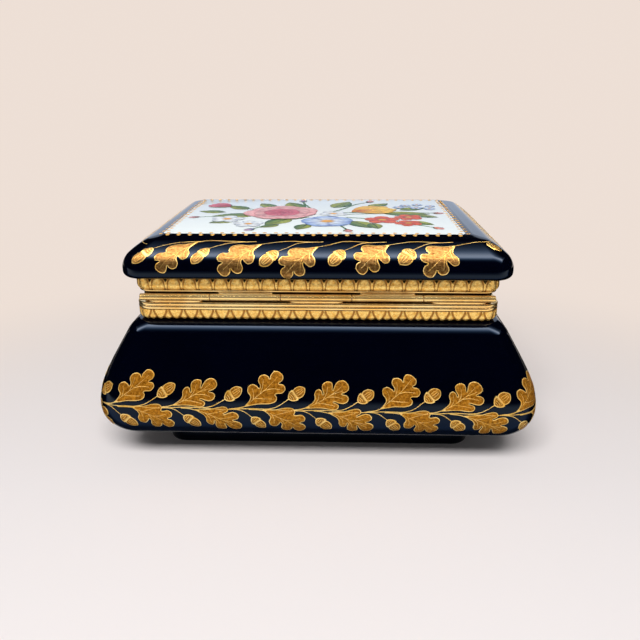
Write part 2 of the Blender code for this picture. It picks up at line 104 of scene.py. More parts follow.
def makeGlazeSkin():
    # the soft unevenness of a fired glaze: pooling, dimpled skin and gloss
    tree, given, out = newGroup(
        "glazeSkin",
        [("Scale", 40.0), ("Gloss", 0.08), ("Spread", 0.02)],
        ["Pooling", "Roughness", "Height"],
    )
    spot = addNode(tree, "ShaderNodeTexCoord", -900, -300)
    pooling = addNode(tree, "ShaderNodeTexNoise", -600, 200)
    setInputs(pooling, **glazeNoise["pooling"])
    fine = addNode(tree, "ShaderNodeMath", -700, -200, operation="MULTIPLY")
    fine.inputs[1].default_value = glazeNoise["finer"]
    skin = addNode(tree, "ShaderNodeTexNoise", -500, -200)
    setInputs(skin, **glazeNoise["skin"])
    for noise in (pooling, skin):
        tree.links.new(spot.outputs["Object"], noise.inputs["Vector"])
    tree.links.new(given.outputs["Scale"], pooling.inputs["Scale"])
    tree.links.new(given.outputs["Scale"], fine.inputs[0])
    tree.links.new(fine.outputs[0], skin.inputs["Scale"])
    tree.links.new(pooling.outputs["Fac"], out.inputs["Pooling"])
    tree.links.new(spreadRoughness(tree, pooling.outputs["Fac"], given, -200, 100), out.inputs["Roughness"])
    tree.links.new(skin.outputs["Fac"], out.inputs["Height"])
    return tree


def makeMetalWear():
    # handling marks on brass and gold: broad toning and fine pits
    tree, given, out = newGroup(
        "metalWear",
        [("Scale", 90.0), ("Grain", 2500.0), ("Gloss", 0.28), ("Spread", 0.08)],
        ["Toning", "Roughness", "Height"],
    )
    spot = addNode(tree, "ShaderNodeTexCoord", -900, -300)
    toning = addNode(tree, "ShaderNodeTexNoise", -600, 250)
    setInputs(toning, **wearNoise["toning"])
    pits = addNode(tree, "ShaderNodeTexNoise", -500, -120)
    setInputs(pits, **wearNoise["pits"])
    for noise in (toning, pits):
        tree.links.new(spot.outputs["Object"], noise.inputs["Vector"])
    tree.links.new(given.outputs["Scale"], toning.inputs["Scale"])
    tree.links.new(given.outputs["Grain"], pits.inputs["Scale"])
    sharper = addNode(tree, "ShaderNodeMapRange", -200, 400)
    setInputs(sharper, **wearNoise["toningSpan"])
    tree.links.new(toning.outputs["Fac"], sharper.inputs["Value"])
    tree.links.new(sharper.outputs["Result"], out.inputs["Toning"])
    tree.links.new(spreadRoughness(tree, pits.outputs["Fac"], given, -200, 100), out.inputs["Roughness"])
    tree.links.new(pits.outputs["Fac"], out.inputs["Height"])
    return tree


def makeReliefShade():
    # painted shade: a darker colour in the hollows of worked metal, where the relief stored on the mesh is
    # low
    tree, given, out = newGroup("reliefShade", [("Low", 0.0), ("High", 0.6)], ["Mask"])
    relief = addNode(tree, "ShaderNodeAttribute", -600, 0, attribute_name="relief")
    ranged = addNode(tree, "ShaderNodeMapRange", -200, 0, interpolation_type="SMOOTHSTEP")
    tree.links.new(relief.outputs["Fac"], ranged.inputs["Value"])
    tree.links.new(given.outputs["Low"], ranged.inputs["From Min"])
    tree.links.new(given.outputs["High"], ranged.inputs["From Max"])
    tree.links.new(ranged.outputs["Result"], out.inputs["Mask"])
    return tree


glazeSkin = makeGlazeSkin()
metalWear = makeMetalWear()
reliefShade = makeReliefShade()


def blendColours(tree, mask, first, second, x, y):
    # inputs 6 and 7 of a Mix node are its two colours, and output 2 is the mixed one
    mix = addNode(tree, "ShaderNodeMix", x, y, data_type="RGBA")
    for socket, colour in ((mix.inputs[6], first), (mix.inputs[7], second)):
        if isinstance(colour, tuple):
            socket.default_value = (*colour, 1.0)
        else:
            tree.links.new(colour, socket)
    tree.links.new(mask, mix.inputs[0])
    return mix.outputs[2]


def startFinish(name, skinGroup, look):
    # a material with its Principled shader, the shared skin group and a bump from it
    finish = bpy.data.materials.new(name)
    finish.use_nodes = True
    tree = finish.node_tree
    shader = tree.nodes["Principled BSDF"]
    setInputs(shader, Metallic=look["metal"], IOR=look["ior"])
    skin = addNode(tree, "ShaderNodeGroup", -700, 0)
    skin.node_tree = skinGroup
    setInputs(skin, Scale=look["scale"], Gloss=look["gloss"], Spread=look["spread"])
    if "grain" in look:
        setInputs(skin, Grain=look["grain"])
    if "specular" in look:
        setInputs(shader, **{"Specular IOR Level": look["specular"]})
    if "sheen" in look:
        setInputs(shader, **{"Specular Tint": (*look["sheen"], 1.0)})
    tree.links.new(skin.outputs["Roughness"], shader.inputs["Roughness"])
    bump = addNode(tree, "ShaderNodeBump", -300, -300)
    setInputs(bump, Strength=look["bump"], Distance=look["bumpDepth"] * mm)
    tree.links.new(skin.outputs["Height"], bump.inputs["Height"])
    tree.links.new(bump.outputs["Normal"], shader.inputs["Normal"])
    return finish, tree, shader, skin


def glazeFinish(name, look):
    finish, tree, shader, skin = startFinish(name, glazeSkin, look)
    colour = blendColours(tree, skin.outputs["Pooling"], look["thin"], look["deep"], -400, 200)
    tree.links.new(colour, shader.inputs["Base Color"])
    return finish


def metalFinish(name, look):
    finish, tree, shader, skin = startFinish(name, metalWear, look)
    colour = blendColours(tree, skin.outputs["Toning"], look["warm"], look["pale"], -500, 200)
    # painted shade: the hollows of the relief take a darker colour
    if "hollowShade" in look:
        shade = addNode(tree, "ShaderNodeGroup", -700, 400)
        shade.node_tree = reliefShade
        setInputs(shade, Low=look["hollowFrom"], High=look["hollowTo"])
        colour = blendColours(tree, shade.outputs["Mask"], look["hollowShade"], colour, -250, 300)
    tree.links.new(colour, shader.inputs["Base Color"])
    return finish


cobaltGlaze = glazeFinish("cobaltGlaze", {
    "thin": (0.0003, 0.0006, 0.0036), "deep": (0.0001, 0.0002, 0.0014), "metal": 0.0, "ior": 1.35,
    "sheen": (0.45, 0.68, 1.0),
    "scale": 46.0, "gloss": 0.085, "spread": 0.02, "bump": 0.08, "bumpDepth": 0.04,
})
whiteGlaze = glazeFinish("whiteGlaze", {
    "thin": (0.89, 0.94, 0.91), "deep": (0.83, 0.88, 0.87), "metal": 0.0, "ior": 1.5,
    "scale": 34.0, "gloss": 0.12, "spread": 0.03, "bump": 0.1, "bumpDepth": 0.05,
})
bareBiscuit = glazeFinish("bareBiscuit", {
    "thin": (0.66, 0.61, 0.54), "deep": (0.52, 0.47, 0.40), "metal": 0.0, "ior": 1.45,
    "scale": 160.0, "gloss": 0.72, "spread": 0.08, "bump": 0.5, "bumpDepth": 0.15,
})
plasterBed = glazeFinish("plasterBed", {
    "thin": (0.70, 0.66, 0.58), "deep": (0.52, 0.47, 0.39), "metal": 0.0, "ior": 1.45,
    "scale": 220.0, "gloss": 0.85, "spread": 0.06, "bump": 0.7, "bumpDepth": 0.2,
})
drawnBrass = metalFinish("drawnBrass", {
    "warm": (0.88, 0.51, 0.14), "pale": (1.0, 0.74, 0.33), "metal": 0.92, "ior": 1.5, "specular": 0.1,
    "scale": 60.0, "grain": 3000.0, "gloss": 0.16, "spread": 0.04, "bump": 0.08, "bumpDepth": 0.03,
})
hingeBrass = metalFinish("hingeBrass", {
    "warm": (0.80, 0.44, 0.11), "pale": (1.0, 0.71, 0.29), "metal": 0.78, "ior": 1.5, "specular": 0.1,
    "scale": 60.0, "grain": 3000.0, "gloss": 0.18, "spread": 0.05, "bump": 0.08, "bumpDepth": 0.03,
})
# brass of the bezels' outer face, set back behind the mouldings and strips, painted dark for the shade that
# falls there
shadedRecessBrass = metalFinish("shadedRecessBrass", {
    "warm": (0.10, 0.05, 0.012), "pale": (0.26, 0.15, 0.05), "metal": 1.0, "ior": 1.5,
    "scale": 120.0, "grain": 2200.0, "gloss": 0.5, "spread": 0.1, "bump": 0.25, "bumpDepth": 0.05,
})
stampedBrass = metalFinish("stampedBrass", {
    "warm": (0.74, 0.37, 0.06), "pale": (1.0, 0.71, 0.23), "metal": 0.55, "ior": 1.5, "specular": 0.05,
    # the darker colour painted into the relief's hollows stands for the shade there
    "hollowShade": (0.34, 0.15, 0.03), "hollowFrom": 0.2, "hollowTo": 0.6,
    "scale": 1100.0, "grain": 2600.0, "gloss": 0.32, "spread": 0.08, "bump": 0.5, "bumpDepth": 0.06,
})
burnishedGold = metalFinish("burnishedGold", {
    "warm": (0.80, 0.44, 0.07), "pale": (1.0, 0.70, 0.24), "metal": 0.6, "ior": 1.5, "specular": 0.05,
    "scale": 400.0, "grain": 2400.0, "gloss": 0.36, "spread": 0.06, "bump": 0.2, "bumpDepth": 0.03,
})
stippledGold = metalFinish("stippledGold", {
    "warm": (0.18, 0.057, 0.003), "pale": (0.57, 0.24, 0.02), "metal": 0.55, "ior": 1.5, "specular": 0.05,
    "scale": 1300.0, "grain": 1900.0, "gloss": 0.42, "spread": 0.1, "bump": 0.5, "bumpDepth": 0.05,
})
# the stippled gold again for the lid, paler and less saturated so that its lit tops come out cream: a lit
# copy with painted highlight colour
lidLitStipple = metalFinish("lidLitStipple", {
    "warm": (0.16, 0.066, 0.014), "pale": (0.42, 0.23, 0.067), "metal": 0.9, "ior": 1.5, "specular": 0.05,
    "scale": 1300.0, "grain": 1900.0, "gloss": 0.4, "spread": 0.16, "bump": 0.9, "bumpDepth": 0.08,
})
dotGold = metalFinish("dotGold", {
    "warm": (0.58, 0.30, 0.06), "pale": (0.78, 0.46, 0.13), "metal": 0.5, "ior": 1.5, "specular": 0.05,
    "scale": 900.0, "grain": 2400.0, "gloss": 0.45, "spread": 0.06, "bump": 0.2, "bumpDepth": 0.03,
})
pinSteel = metalFinish("pinSteel", {
    "warm": (0.42, 0.41, 0.40), "pale": (0.62, 0.62, 0.62), "metal": 1.0, "ior": 1.5,
    "scale": 130.0, "grain": 2500.0, "gloss": 0.32, "spread": 0.08, "bump": 0.2, "bumpDepth": 0.05,
})


def enamelFinish(name, look):
    # overglaze colours: the tint painted on each mesh point, with the streaks of a brush
    finish, tree, shader, skin = startFinish(name, glazeSkin, look)
    tint = addNode(tree, "ShaderNodeAttribute", -900, 300, attribute_name="tint")
    streak = addNode(tree, "ShaderNodeHueSaturation", -500, 300)
    strength = addNode(tree, "ShaderNodeMapRange", -700, 480)
    setInputs(strength, **brushSpan)
    tree.links.new(skin.outputs["Height"], strength.inputs["Value"])
    tree.links.new(strength.outputs["Result"], streak.inputs["Value"])
    tree.links.new(tint.outputs["Color"], streak.inputs["Color"])
    tree.links.new(streak.outputs["Color"], shader.inputs["Base Color"])
    return finish


paintedEnamel = enamelFinish("paintedEnamel", {
    "metal": 0.0, "ior": 1.34, "specular": 0.12,
    "scale": 60.0, "gloss": 0.3, "spread": 0.05, "bump": 0.2, "bumpDepth": 0.04,
})
print("finishes ready")


# Mesh helpers

roundMiddle = 0.3  # how far the middle of a rounded edge lies from both its faces, against its radius


def addPiece(
    name, body, points, faces, finishes, faceFinish=None, sharp=38.0, closed=True, values=None
):
    # sharp is the angle from which an edge stays crisp; values are stored on the points, for the finishes
    mesh = bpy.data.meshes.new(name)
    mesh.from_pydata((np.asarray(points) * mm).tolist(), [], [list(face) for face in faces])
    for finish in finishes:
        mesh.materials.append(finish)
    if faceFinish is not None:
        mesh.polygons.foreach_set("material_index", np.asarray(faceFinish, np.int32))
    for label, data in (values or {}).items():
        kind = "FLOAT" if np.ndim(data) == 1 else "FLOAT_COLOR"
        layer = mesh.attributes.new(label, kind, "POINT")
        field = "value" if kind == "FLOAT" else "color"
        layer.data.foreach_set(field, np.asarray(data, np.float32).ravel())
    if closed:
        bm = bmesh.new()
        bm.from_mesh(mesh)
        bmesh.ops.recalc_face_normals(bm, faces=bm.faces)
        bm.to_mesh(mesh)
        bm.free()
    mesh.update()
    mesh.shade_smooth()
    mesh.set_sharp_from_angle(angle=math.radians(sharp))
    piece = bpy.data.objects.new(name, mesh)
    bpy.context.scene.collection.objects.link(piece)
    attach(piece, body)
    return piece


def ringOutline(inset, height, corner, steps):
    halfX = plan["width"] / 2 - inset - corner
    halfY = plan["depth"] / 2 - inset - corner
    points = []
    for quarter, (sideX, sideY) in enumerate(((1, 1), (-1, 1), (-1, -1), (1, -1))):
        angle = (quarter + np.linspace(0, 1, steps + 1)) * math.pi / 2
        points.append(np.stack((
            sideX * halfX + corner * np.cos(angle),
            sideY * halfY + corner * np.sin(angle),
            np.full(steps + 1, height),
        ), 1))
    return np.concatenate(points)


def ringQuads(rings, count, closed=False):
    # quads between rings of count points each; a closed shape joins its last ring to the first
    quads = []
    for i in range(rings if closed else rings - 1):
        low, high = i * count, (i + 1) % rings * count
        for k in range(count):
            after = (k + 1) % count
            quads.append((low + k, low + after, high + after, high + k))
    return quads


def endCaps(rings, count):
    return [range(count - 1, -1, -1), range((rings - 1) * count, rings * count)]


def loftRuns(runs, steps, ring=False):
    # each run is a finish number and its sections; a run starts from the last section of the one before
    sections, bands = [], []
    for finish, run in runs:
        bands += [finish] * (len(run) if sections else len(run) - 1)
        sections += run
    loops = [ringOutline(*section, steps) for section in sections]
    count = len(loops[0])
    if ring:
        bands.append(bands[0])
    faces = ringQuads(len(loops), count, ring)
    faceFinish = np.repeat(bands, count).tolist()
    if not ring:
        faces += endCaps(len(loops), count)
        faceFinish += [bands[0], bands[-1]]
    return np.concatenate(loops), faces, faceFinish


def bezier(a, b, c, d, steps):
    t = np.linspace(0, 1, steps + 1)[:, None]
    a, b, c, d = (np.asarray(p, float) for p in (a, b, c, d))
    return (1 - t) ** 3 * a + 3 * (1 - t) ** 2 * t * b + 3 * (1 - t) * t ** 2 * c + t ** 3 * d


def ellipseArc(centre, reachIn, reachUp, start, end, steps):
    angle = np.radians(np.linspace(start, end, steps + 1))
    return np.stack((centre[0] + reachIn * np.cos(angle), centre[1] + reachUp * np.sin(angle)), 1)


def withCorner(points, first, last):
    # sections whose corner goes evenly from first to last
    shares = np.linspace(0, 1, len(points))
    return [(p[0], p[1], first + (last - first) * s) for p, s in zip(points, shares)]


def matched(points, cornerOf):
    # sections whose corner follows from their inset
    return [(p[0], p[1], cornerOf(p[0])) for p in points]


# Surfaces that carry decoration: u runs round the box from the middle of the back towards -X,
# and t runs up the profile

def decorSurface(sections, zeroHeight, refInset, refCorner):
    inset, height, corner = np.array(sections, float).T
    t = np.concatenate(([0.0], np.cumsum(np.hypot(np.diff(inset), np.diff(height)))))
    t -= np.interp(zeroHeight, height, t)
    out, up = np.gradient(height, t), np.gradient(inset, t)
    size = np.hypot(out, up)
    straightX = plan["width"] - 2 * refInset - 2 * refCorner
    straightY = plan["depth"] - 2 * refInset - 2 * refCorner
    bend = refCorner * math.pi / 2
    runs = (0, straightX / 2, bend, straightY, bend, straightX, bend, straightY, bend, straightX / 2)
    return {
        "t": t, "inset": inset, "height": height, "corner": corner, "out": out / size, "up": up / size,
        "stops": np.cumsum(runs), "length": sum(runs),
        "angle": np.radians([90, 90, 180, 180, 270, 270, 360, 360, 450, 450]),
        "centreX": np.array([0, -1, -1, -1, -1, 1, 1, 1, 1, 0]),
        "centreY": np.array([1, 1, 1, -1, -1, -1, -1, 1, 1, 1]),
    }


def onSurface(surface, u, t, lift):
    u = np.mod(u, surface["length"])
    inset, height, corner, out, up = (
        np.interp(t, surface["t"], surface[key]) for key in ("inset", "height", "corner", "out", "up")
    )
    angle, centreX, centreY = (
        np.interp(u, surface["stops"], surface[key]) for key in ("angle", "centreX", "centreY")
    )
    radius = corner + lift * out
    return np.stack((
        centreX * (plan["width"] / 2 - inset - corner) + radius * np.cos(angle),
        centreY * (plan["depth"] / 2 - inset - corner) + radius * np.sin(angle),
        height + lift * up,
    ), -1)


# Porcelain base

base = {
    "belly": 21.5, "bellyCorner": 10.0, "underside": 10.5, "undersideRound": 9.0,
    "ledge": 49.0, "shoulder": 11.3, "shoulderCorner": 6.0, "shoulderEdge": 11.63, "shoulderRound": 8.0,
    "shoulderBreak": 62.0, "shoulderLip": 0.8, "lean": 29.0, "bellyHandle": 8.0, "topHandle": 11.7,
    "foot": 18.8, "footCorner": 7.0, "footWall": 5.0, "footRound": 0.8, "footTuck": 1.0,
    "wall": 4.0, "floor": 15.0, "innerRound": 6.0, "innerCorner": 3.0,
    "neckOuter": 17.25, "neckInner": 20.45, "neckTop": 56.25, "neckCorner": 1.65,
    "footSoft": 0.25,  # share of the foot's round that its middle point keeps
    "cornerSteps": 14, "sideSteps": 28, "undersideSteps": 16, "shoulderPoints": 12, "lipPoints": 7,
    "floorSteps": 8, "tuckSteps": 5,
}


def baseCorner(inset):
    return base["bellyCorner"] + (base["shoulderCorner"] - base["bellyCorner"]) * inset / base["shoulder"]


def insideCorner(inset):
    return max(baseCorner(inset - base["wall"]) - base["wall"], base["innerCorner"])


lean = np.array((math.sin(math.radians(base["lean"])), math.cos(math.radians(base["lean"]))))
shoulderEdge = np.array((base["shoulderEdge"], base["ledge"]))  # where side and ledge would meet if sharp


def sweep(radius, start, end, count):
    # part of a circle that begins at zero, by the angles that its normal climbs through
    climb = np.radians(np.linspace(start, end, count))
    way = radius * np.stack((-np.cos(climb), np.sin(climb)), 1)
    return way - way[0]


shoulderArc = sweep(base["shoulderRound"], base["lean"], base["shoulderBreak"], base["shoulderPoints"])
shoulderLip = sweep(base["shoulderLip"], base["shoulderBreak"], 90.0, base["lipPoints"])[1:]
shoulderArc = np.concatenate((shoulderArc, shoulderArc[-1] + shoulderLip))
shoulderTop = shoulderEdge - shoulderArc[-1, 1] / lean[1] * lean
shoulderArc = shoulderArc + shoulderTop
baseSide = bezier(
    (0, base["belly"]),
    (0, base["belly"] + base["bellyHandle"]),
    shoulderTop - base["topHandle"] * lean,
    shoulderTop,
    base["sideSteps"],
)
baseUnder = ellipseArc(
    (base["undersideRound"], base["belly"]),
    base["undersideRound"], base["belly"] - base["underside"], 270, 180, base["undersideSteps"],
)
baseOuter = matched(baseUnder, baseCorner) + matched(baseSide[1:], baseCorner)
sideWays = np.diff(baseSide, axis=0)
sideWays /= np.linalg.norm(sideWays, axis=1)[:, None]
sideInwards = np.stack((sideWays[:, 1], -sideWays[:, 0]), 1)
sideInner = (baseSide[:-1] + baseSide[1:]) / 2 + base["wall"] * sideInwards
aboveFloor = sideInner[:, 1] > base["floor"] + base["innerRound"]
belowNeck = sideInner[:, 1] < base["ledge"] - base["wall"]
sideInner = sideInner[aboveFloor & belowNeck][::-1]
floorCentre = (base["wall"] + base["innerRound"], base["floor"] + base["innerRound"])
floorArc = ellipseArc(floorCentre, base["innerRound"], base["innerRound"], 180, 270, base["floorSteps"])
footInner = base["foot"] + base["footWall"]
footInnerCorner = base["footCorner"] - base["footWall"]
footRound = base["footRound"]
footSoft = base["footSoft"] * footRound
tuckCentre = (base["foot"] - base["footTuck"], base["underside"] - base["footTuck"])
tuckArc = ellipseArc(tuckCentre, base["footTuck"], base["footTuck"], 0, 90, base["tuckSteps"])
# finishes by number: 0 cobalt, 1 white, 2 bare
basePoints, baseFaces, baseFinish = loftRuns([
    (1, [
        (footInner, base["underside"], footInnerCorner),
        (footInner, footRound, footInnerCorner),
    ]),
    (2, [
        (footInner - footRound, 0, footInnerCorner + footRound),
        (base["foot"] + footRound, 0, base["footCorner"] - footRound),
    ]),
    (0, [
        (base["foot"] + footSoft, footSoft, base["footCorner"] - footSoft),
        (base["foot"], footRound, base["footCorner"]),
    ] + withCorner(tuckArc, base["footCorner"], base["footCorner"] + base["footTuck"])
        + baseOuter
        + withCorner(shoulderArc[1:], base["shoulderCorner"], base["shoulderCorner"])
        + [
        (base["neckOuter"], base["ledge"], base["neckCorner"]),
        (base["neckOuter"], base["neckTop"], base["neckCorner"]),
    ]),
    (1, [
        (base["neckInner"], base["neckTop"], base["innerCorner"]),
        (base["neckInner"], base["ledge"] - base["wall"], base["innerCorner"]),
    ] + matched(sideInner, insideCorner) + matched(floorArc, insideCorner)),
], base["cornerSteps"])
basePorcelain = addPiece(
    "basePorcelain", "base", basePoints, baseFaces,
    [cobaltGlaze, whiteGlaze, bareBiscuit], baseFinish,
)
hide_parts("base_body")
baseSurface = decorSurface(baseOuter, base["belly"], 0.0, base["bellyCorner"])
print("base porcelain:", len(baseFaces), "faces")


# Porcelain lid

lid = {
    # inset and height of the points that its profile runs through
    "edge": (12.0, 64.2), "nose": (9.8, 66.6), "turn": (12.0, 71.95), "crest": (17.5, 75.75),
    "panel": (22.5, 76.95),
    "noseHandles": (0.5, 0.6), "slopeHandles": (0.9, 1.0), "topHandles": (0.5, 0.4),
    "bow": 7.0, "noseCorner": 7.5, "turnCorner": 6.0, "crestCorner": 4.0, "panelCorner": 1.5,
    "ceiling": 72.95, "neckBottom": 58.45, "neckOuter": 17.25, "neckInner": 20.45,
    "neckCorner": 1.65, "innerCorner": 3.0,
    "cornerSteps": 14, "edgeSteps": 8, "noseSteps": 14, "slopeSteps": 12, "topSteps": 10, "ceilingSteps": 6,
}
edge, nose, turn, crest, panelRim = (
    np.array(lid[key]) for key in ("edge", "nose", "turn", "crest", "panel")
)
slope = (crest - turn) / 3
slopeLow, slopeHigh = (
    np.array(((math.cos(bow), -math.sin(bow)), (math.sin(bow), math.cos(bow)))) @ slope
    for bow in (math.radians(lid["bow"]), -math.radians(lid["bow"]))
)
lidEdgeArc = ellipseArc(
    (edge[0], nose[1]), edge[0] - nose[0], nose[1] - edge[1], 270, 180, lid["edgeSteps"]
)
first, last = lid["noseHandles"]
noseHandle = nose + (0, first * (turn[1] - nose[1]))
lidNose = bezier(nose, noseHandle, turn - last * slopeLow, turn, lid["noseSteps"])
first, last = lid["slopeHandles"]
lidSlope = bezier(turn, turn + first * slopeLow, crest - last * slopeHigh, crest, lid["slopeSteps"])
first, last = lid["topHandles"]
rimHandle = panelRim + last * (crest - panelRim)
lidTop = bezier(crest, crest + first * slopeHigh, rimHandle, panelRim, lid["topSteps"])
lidOuter = (
    withCorner(lidEdgeArc, lid["noseCorner"] - edge[0] + nose[0], lid["noseCorner"])
    + withCorner(lidNose, lid["noseCorner"], lid["turnCorner"])[1:]
    + withCorner(lidSlope, lid["turnCorner"], lid["crestCorner"])[1:]
    + withCorner(lidTop, lid["crestCorner"], lid["panelCorner"])[1:]
)
ceilingCentre = (lid["neckInner"] + lid["innerCorner"], lid["ceiling"] - lid["innerCorner"])
ceilingArc = ellipseArc(
    ceilingCentre, lid["innerCorner"], lid["innerCorner"], 90, 180, lid["ceilingSteps"]
)
lidPoints, lidFaces, lidFinish = loftRuns([
    (1, withCorner(ceilingArc, lid["innerCorner"], lid["innerCorner"]) + [
        (lid["neckInner"], lid["neckBottom"], lid["innerCorner"]),
        (lid["neckOuter"], lid["neckBottom"], lid["neckCorner"]),
        (lid["neckOuter"], edge[1], lid["neckCorner"]),
    ]),
    (0, lidOuter),
], lid["cornerSteps"])
lidPorcelain = addPiece(
    "lidPorcelain", "lid", lidPoints, lidFaces, [cobaltGlaze, whiteGlaze], lidFinish
)
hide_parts("lid_body")
lidSurface = decorSurface(lidOuter, turn[1], turn[0], lid["turnCorner"])
print("lid porcelain:", len(lidFaces), "faces")


# Motifs drawn flat as outlines, then laid on a surface

def curveSpan(a, b, c, d, steps):
    # the part of a smooth curve from b up to c, bent by its neighbours a and d
    t = np.linspace(0, 1, steps, endpoint=False)[:, None]
    return b + 0.5 * t * (c - a + t * (2 * a - 5 * b + 4 * c - d + t * (3 * (b - c) + d - a)))


def smoothLoop(points, steps):
    points = np.asarray(points, float)
    before, after, beyond = (np.roll(points, k, 0) for k in (1, -1, -2))
    return np.concatenate([curveSpan(*four, steps) for four in zip(before, points, after, beyond)])


def smoothLine(points, steps):
    points = np.asarray(points, float)
    ends = np.concatenate(([2 * points[0] - points[1]], points, [2 * points[-1] - points[-2]]))
    spans = [curveSpan(*four, steps) for four in zip(ends, ends[1:], ends[2:], ends[3:])]
    return np.concatenate(spans + [points[-1:]])


def segmentDistance(points, loop):
    start, end = loop, np.roll(loop, -1, 0)
    along = end - start
    size = np.maximum((along ** 2).sum(1), 1e-12)
    share = np.clip(((points[:, None] - start) * along).sum(2) / size, 0, 1)
    near = start + share[..., None] * along
    return np.sqrt(((points[:, None] - near) ** 2).sum(2)).min(1)


def insideLoop(points, loop):
    x, y = points[:, :1], points[:, 1:]
    x0, y0 = loop[:, 0], loop[:, 1]
    x1, y1 = np.roll(x0, -1), np.roll(y0, -1)
    crosses = (y0 > y) != (y1 > y)
    rise = np.where(y1 == y0, 1e-12, y1 - y0)
    return (crosses & (x < x0 + (y - y0) / rise * (x1 - x0))).sum(1) % 2 == 1


# shares of the rim or of the spacing, and the distance in mm at which points count as one
filling = {"bandKeep": 0.75, "rowGap": 0.87, "clear": 0.4, "rimReach": 1.3, "merge": 1e-5}


def fillOutline(loop, rim, spacing, lift):
    # a flat mesh inside the loop, with a narrow band along its edge;
    # lift gives height from distance to the edge
    loop = np.asarray(loop, float)
    if (loop[:, 0] * np.roll(loop[:, 1], -1) - loop[:, 1] * np.roll(loop[:, 0], -1)).sum() < 0:
        loop = loop[::-1]
    along = np.roll(loop, -1, 0) - np.roll(loop, 1, 0)
    along /= np.linalg.norm(along, axis=1)[:, None]
    band = loop + rim * np.stack((-along[:, 1], along[:, 0]), 1)
    band = band[insideLoop(band, loop) & (segmentDistance(band, loop) > filling["bandKeep"] * rim)]
    low, high = loop.min(0), loop.max(0)
    rows = np.arange(low[1], high[1], spacing * filling["rowGap"])
    grid = []
    for i, y in enumerate(rows):
        xs = np.arange(low[0] + (i % 2) * spacing / 2, high[0], spacing)
        grid.append(np.stack((xs, np.full(len(xs), y)), 1))
    grid = np.concatenate(grid)
    grid = grid[insideLoop(grid, loop)]
    grid = grid[segmentDistance(grid, loop) > rim + filling["clear"] * spacing]
    points = np.concatenate((loop, band, grid))
    count = len(loop)
    edges = [(i, (i + 1) % count) for i in range(count)]
    made = delaunay_2d_cdt([Vector(p) for p in points], edges, [], 1, filling["merge"])
    flat = np.array([tuple(v) for v in made[0]])
    faces = np.array([f for f in made[2] if len(f) == 3])
    a, b, c = flat[faces[:, 0]], flat[faces[:, 1]], flat[faces[:, 2]]
    area = (b[:, 0] - a[:, 0]) * (c[:, 1] - a[:, 1]) - (b[:, 1] - a[:, 1]) * (c[:, 0] - a[:, 0])
    faces[area < 0] = faces[area < 0][:, ::-1]
    distance = segmentDistance(flat, loop)
    onRim = (distance[faces] < rim * filling["rimReach"]).all(1)
    return {"flat": flat, "lift": lift(distance), "faces": faces, "finish": np.where(onRim, 0, 1)}


ribbonForm = {"across": (-1.0, -0.6, 0.0, 0.6, 1.0), "rise": (-0.15, 0.72, 1.0, 0.72, -0.15)}


def ribbon(line, widths, height):
    # a thin rounded strip along a line, highest along its middle
    line = np.asarray(line, float)
    along = np.gradient(line, axis=0)
    along /= np.maximum(np.linalg.norm(along, axis=1), 1e-9)[:, None]
    across = np.stack((-along[:, 1], along[:, 0]), 1)
    widths = np.broadcast_to(np.asarray(widths, float), (len(line),))
    flat = np.concatenate([line + across * (widths * share)[:, None] for share in ribbonForm["across"]])
    lift = np.concatenate([np.full(len(line), height * rise) for rise in ribbonForm["rise"]])
    count, faces = len(line), []
    for row in range(len(ribbonForm["across"]) - 1):
        for k in range(count - 1):
            i = row * count + k
            faces += [(i, i + 1, i + count + 1), (i, i + count + 1, i + count)]
    faces = np.array(faces)
    return {"flat": flat, "lift": lift, "faces": faces, "finish": np.zeros(len(faces), int)}


def joinMotifs(*motifs):
    start, faces = 0, []
    for motif in motifs:
        faces.append(motif["faces"] + start)
        start += len(motif["flat"])
    joined = {key: np.concatenate([motif[key] for motif in motifs]) for key in motifs[0]}
    return {**joined, "faces": np.concatenate(faces)}


def raised(motif, amount):
    return {**motif, "lift": motif["lift"] + amount}


def turned(motif, at, angle, size=1.0, flip=False):
    # the motif moved to a place on the decor sheet
    flat = motif["flat"] * size * (1, -1 if flip else 1)
    c, s = math.cos(angle), math.sin(angle)
    flat = flat @ np.array(((c, s), (-s, c))) + np.asarray(at)
    faces = motif["faces"][:, ::-1] if flip else motif["faces"]
    return {**motif, "flat": flat, "faces": faces}


def laidPiece(name, body, surface, motifs, finishes):
    sheet = joinMotifs(*motifs)
    points = onSurface(surface, sheet["flat"][:, 0], sheet["flat"][:, 1], sheet["lift"])
    return addPiece(
        name, body, points, sheet["faces"], finishes, sheet["finish"], sharp=50.0, closed=False
    )


# Oak leaves and acorns of the gilt garlands

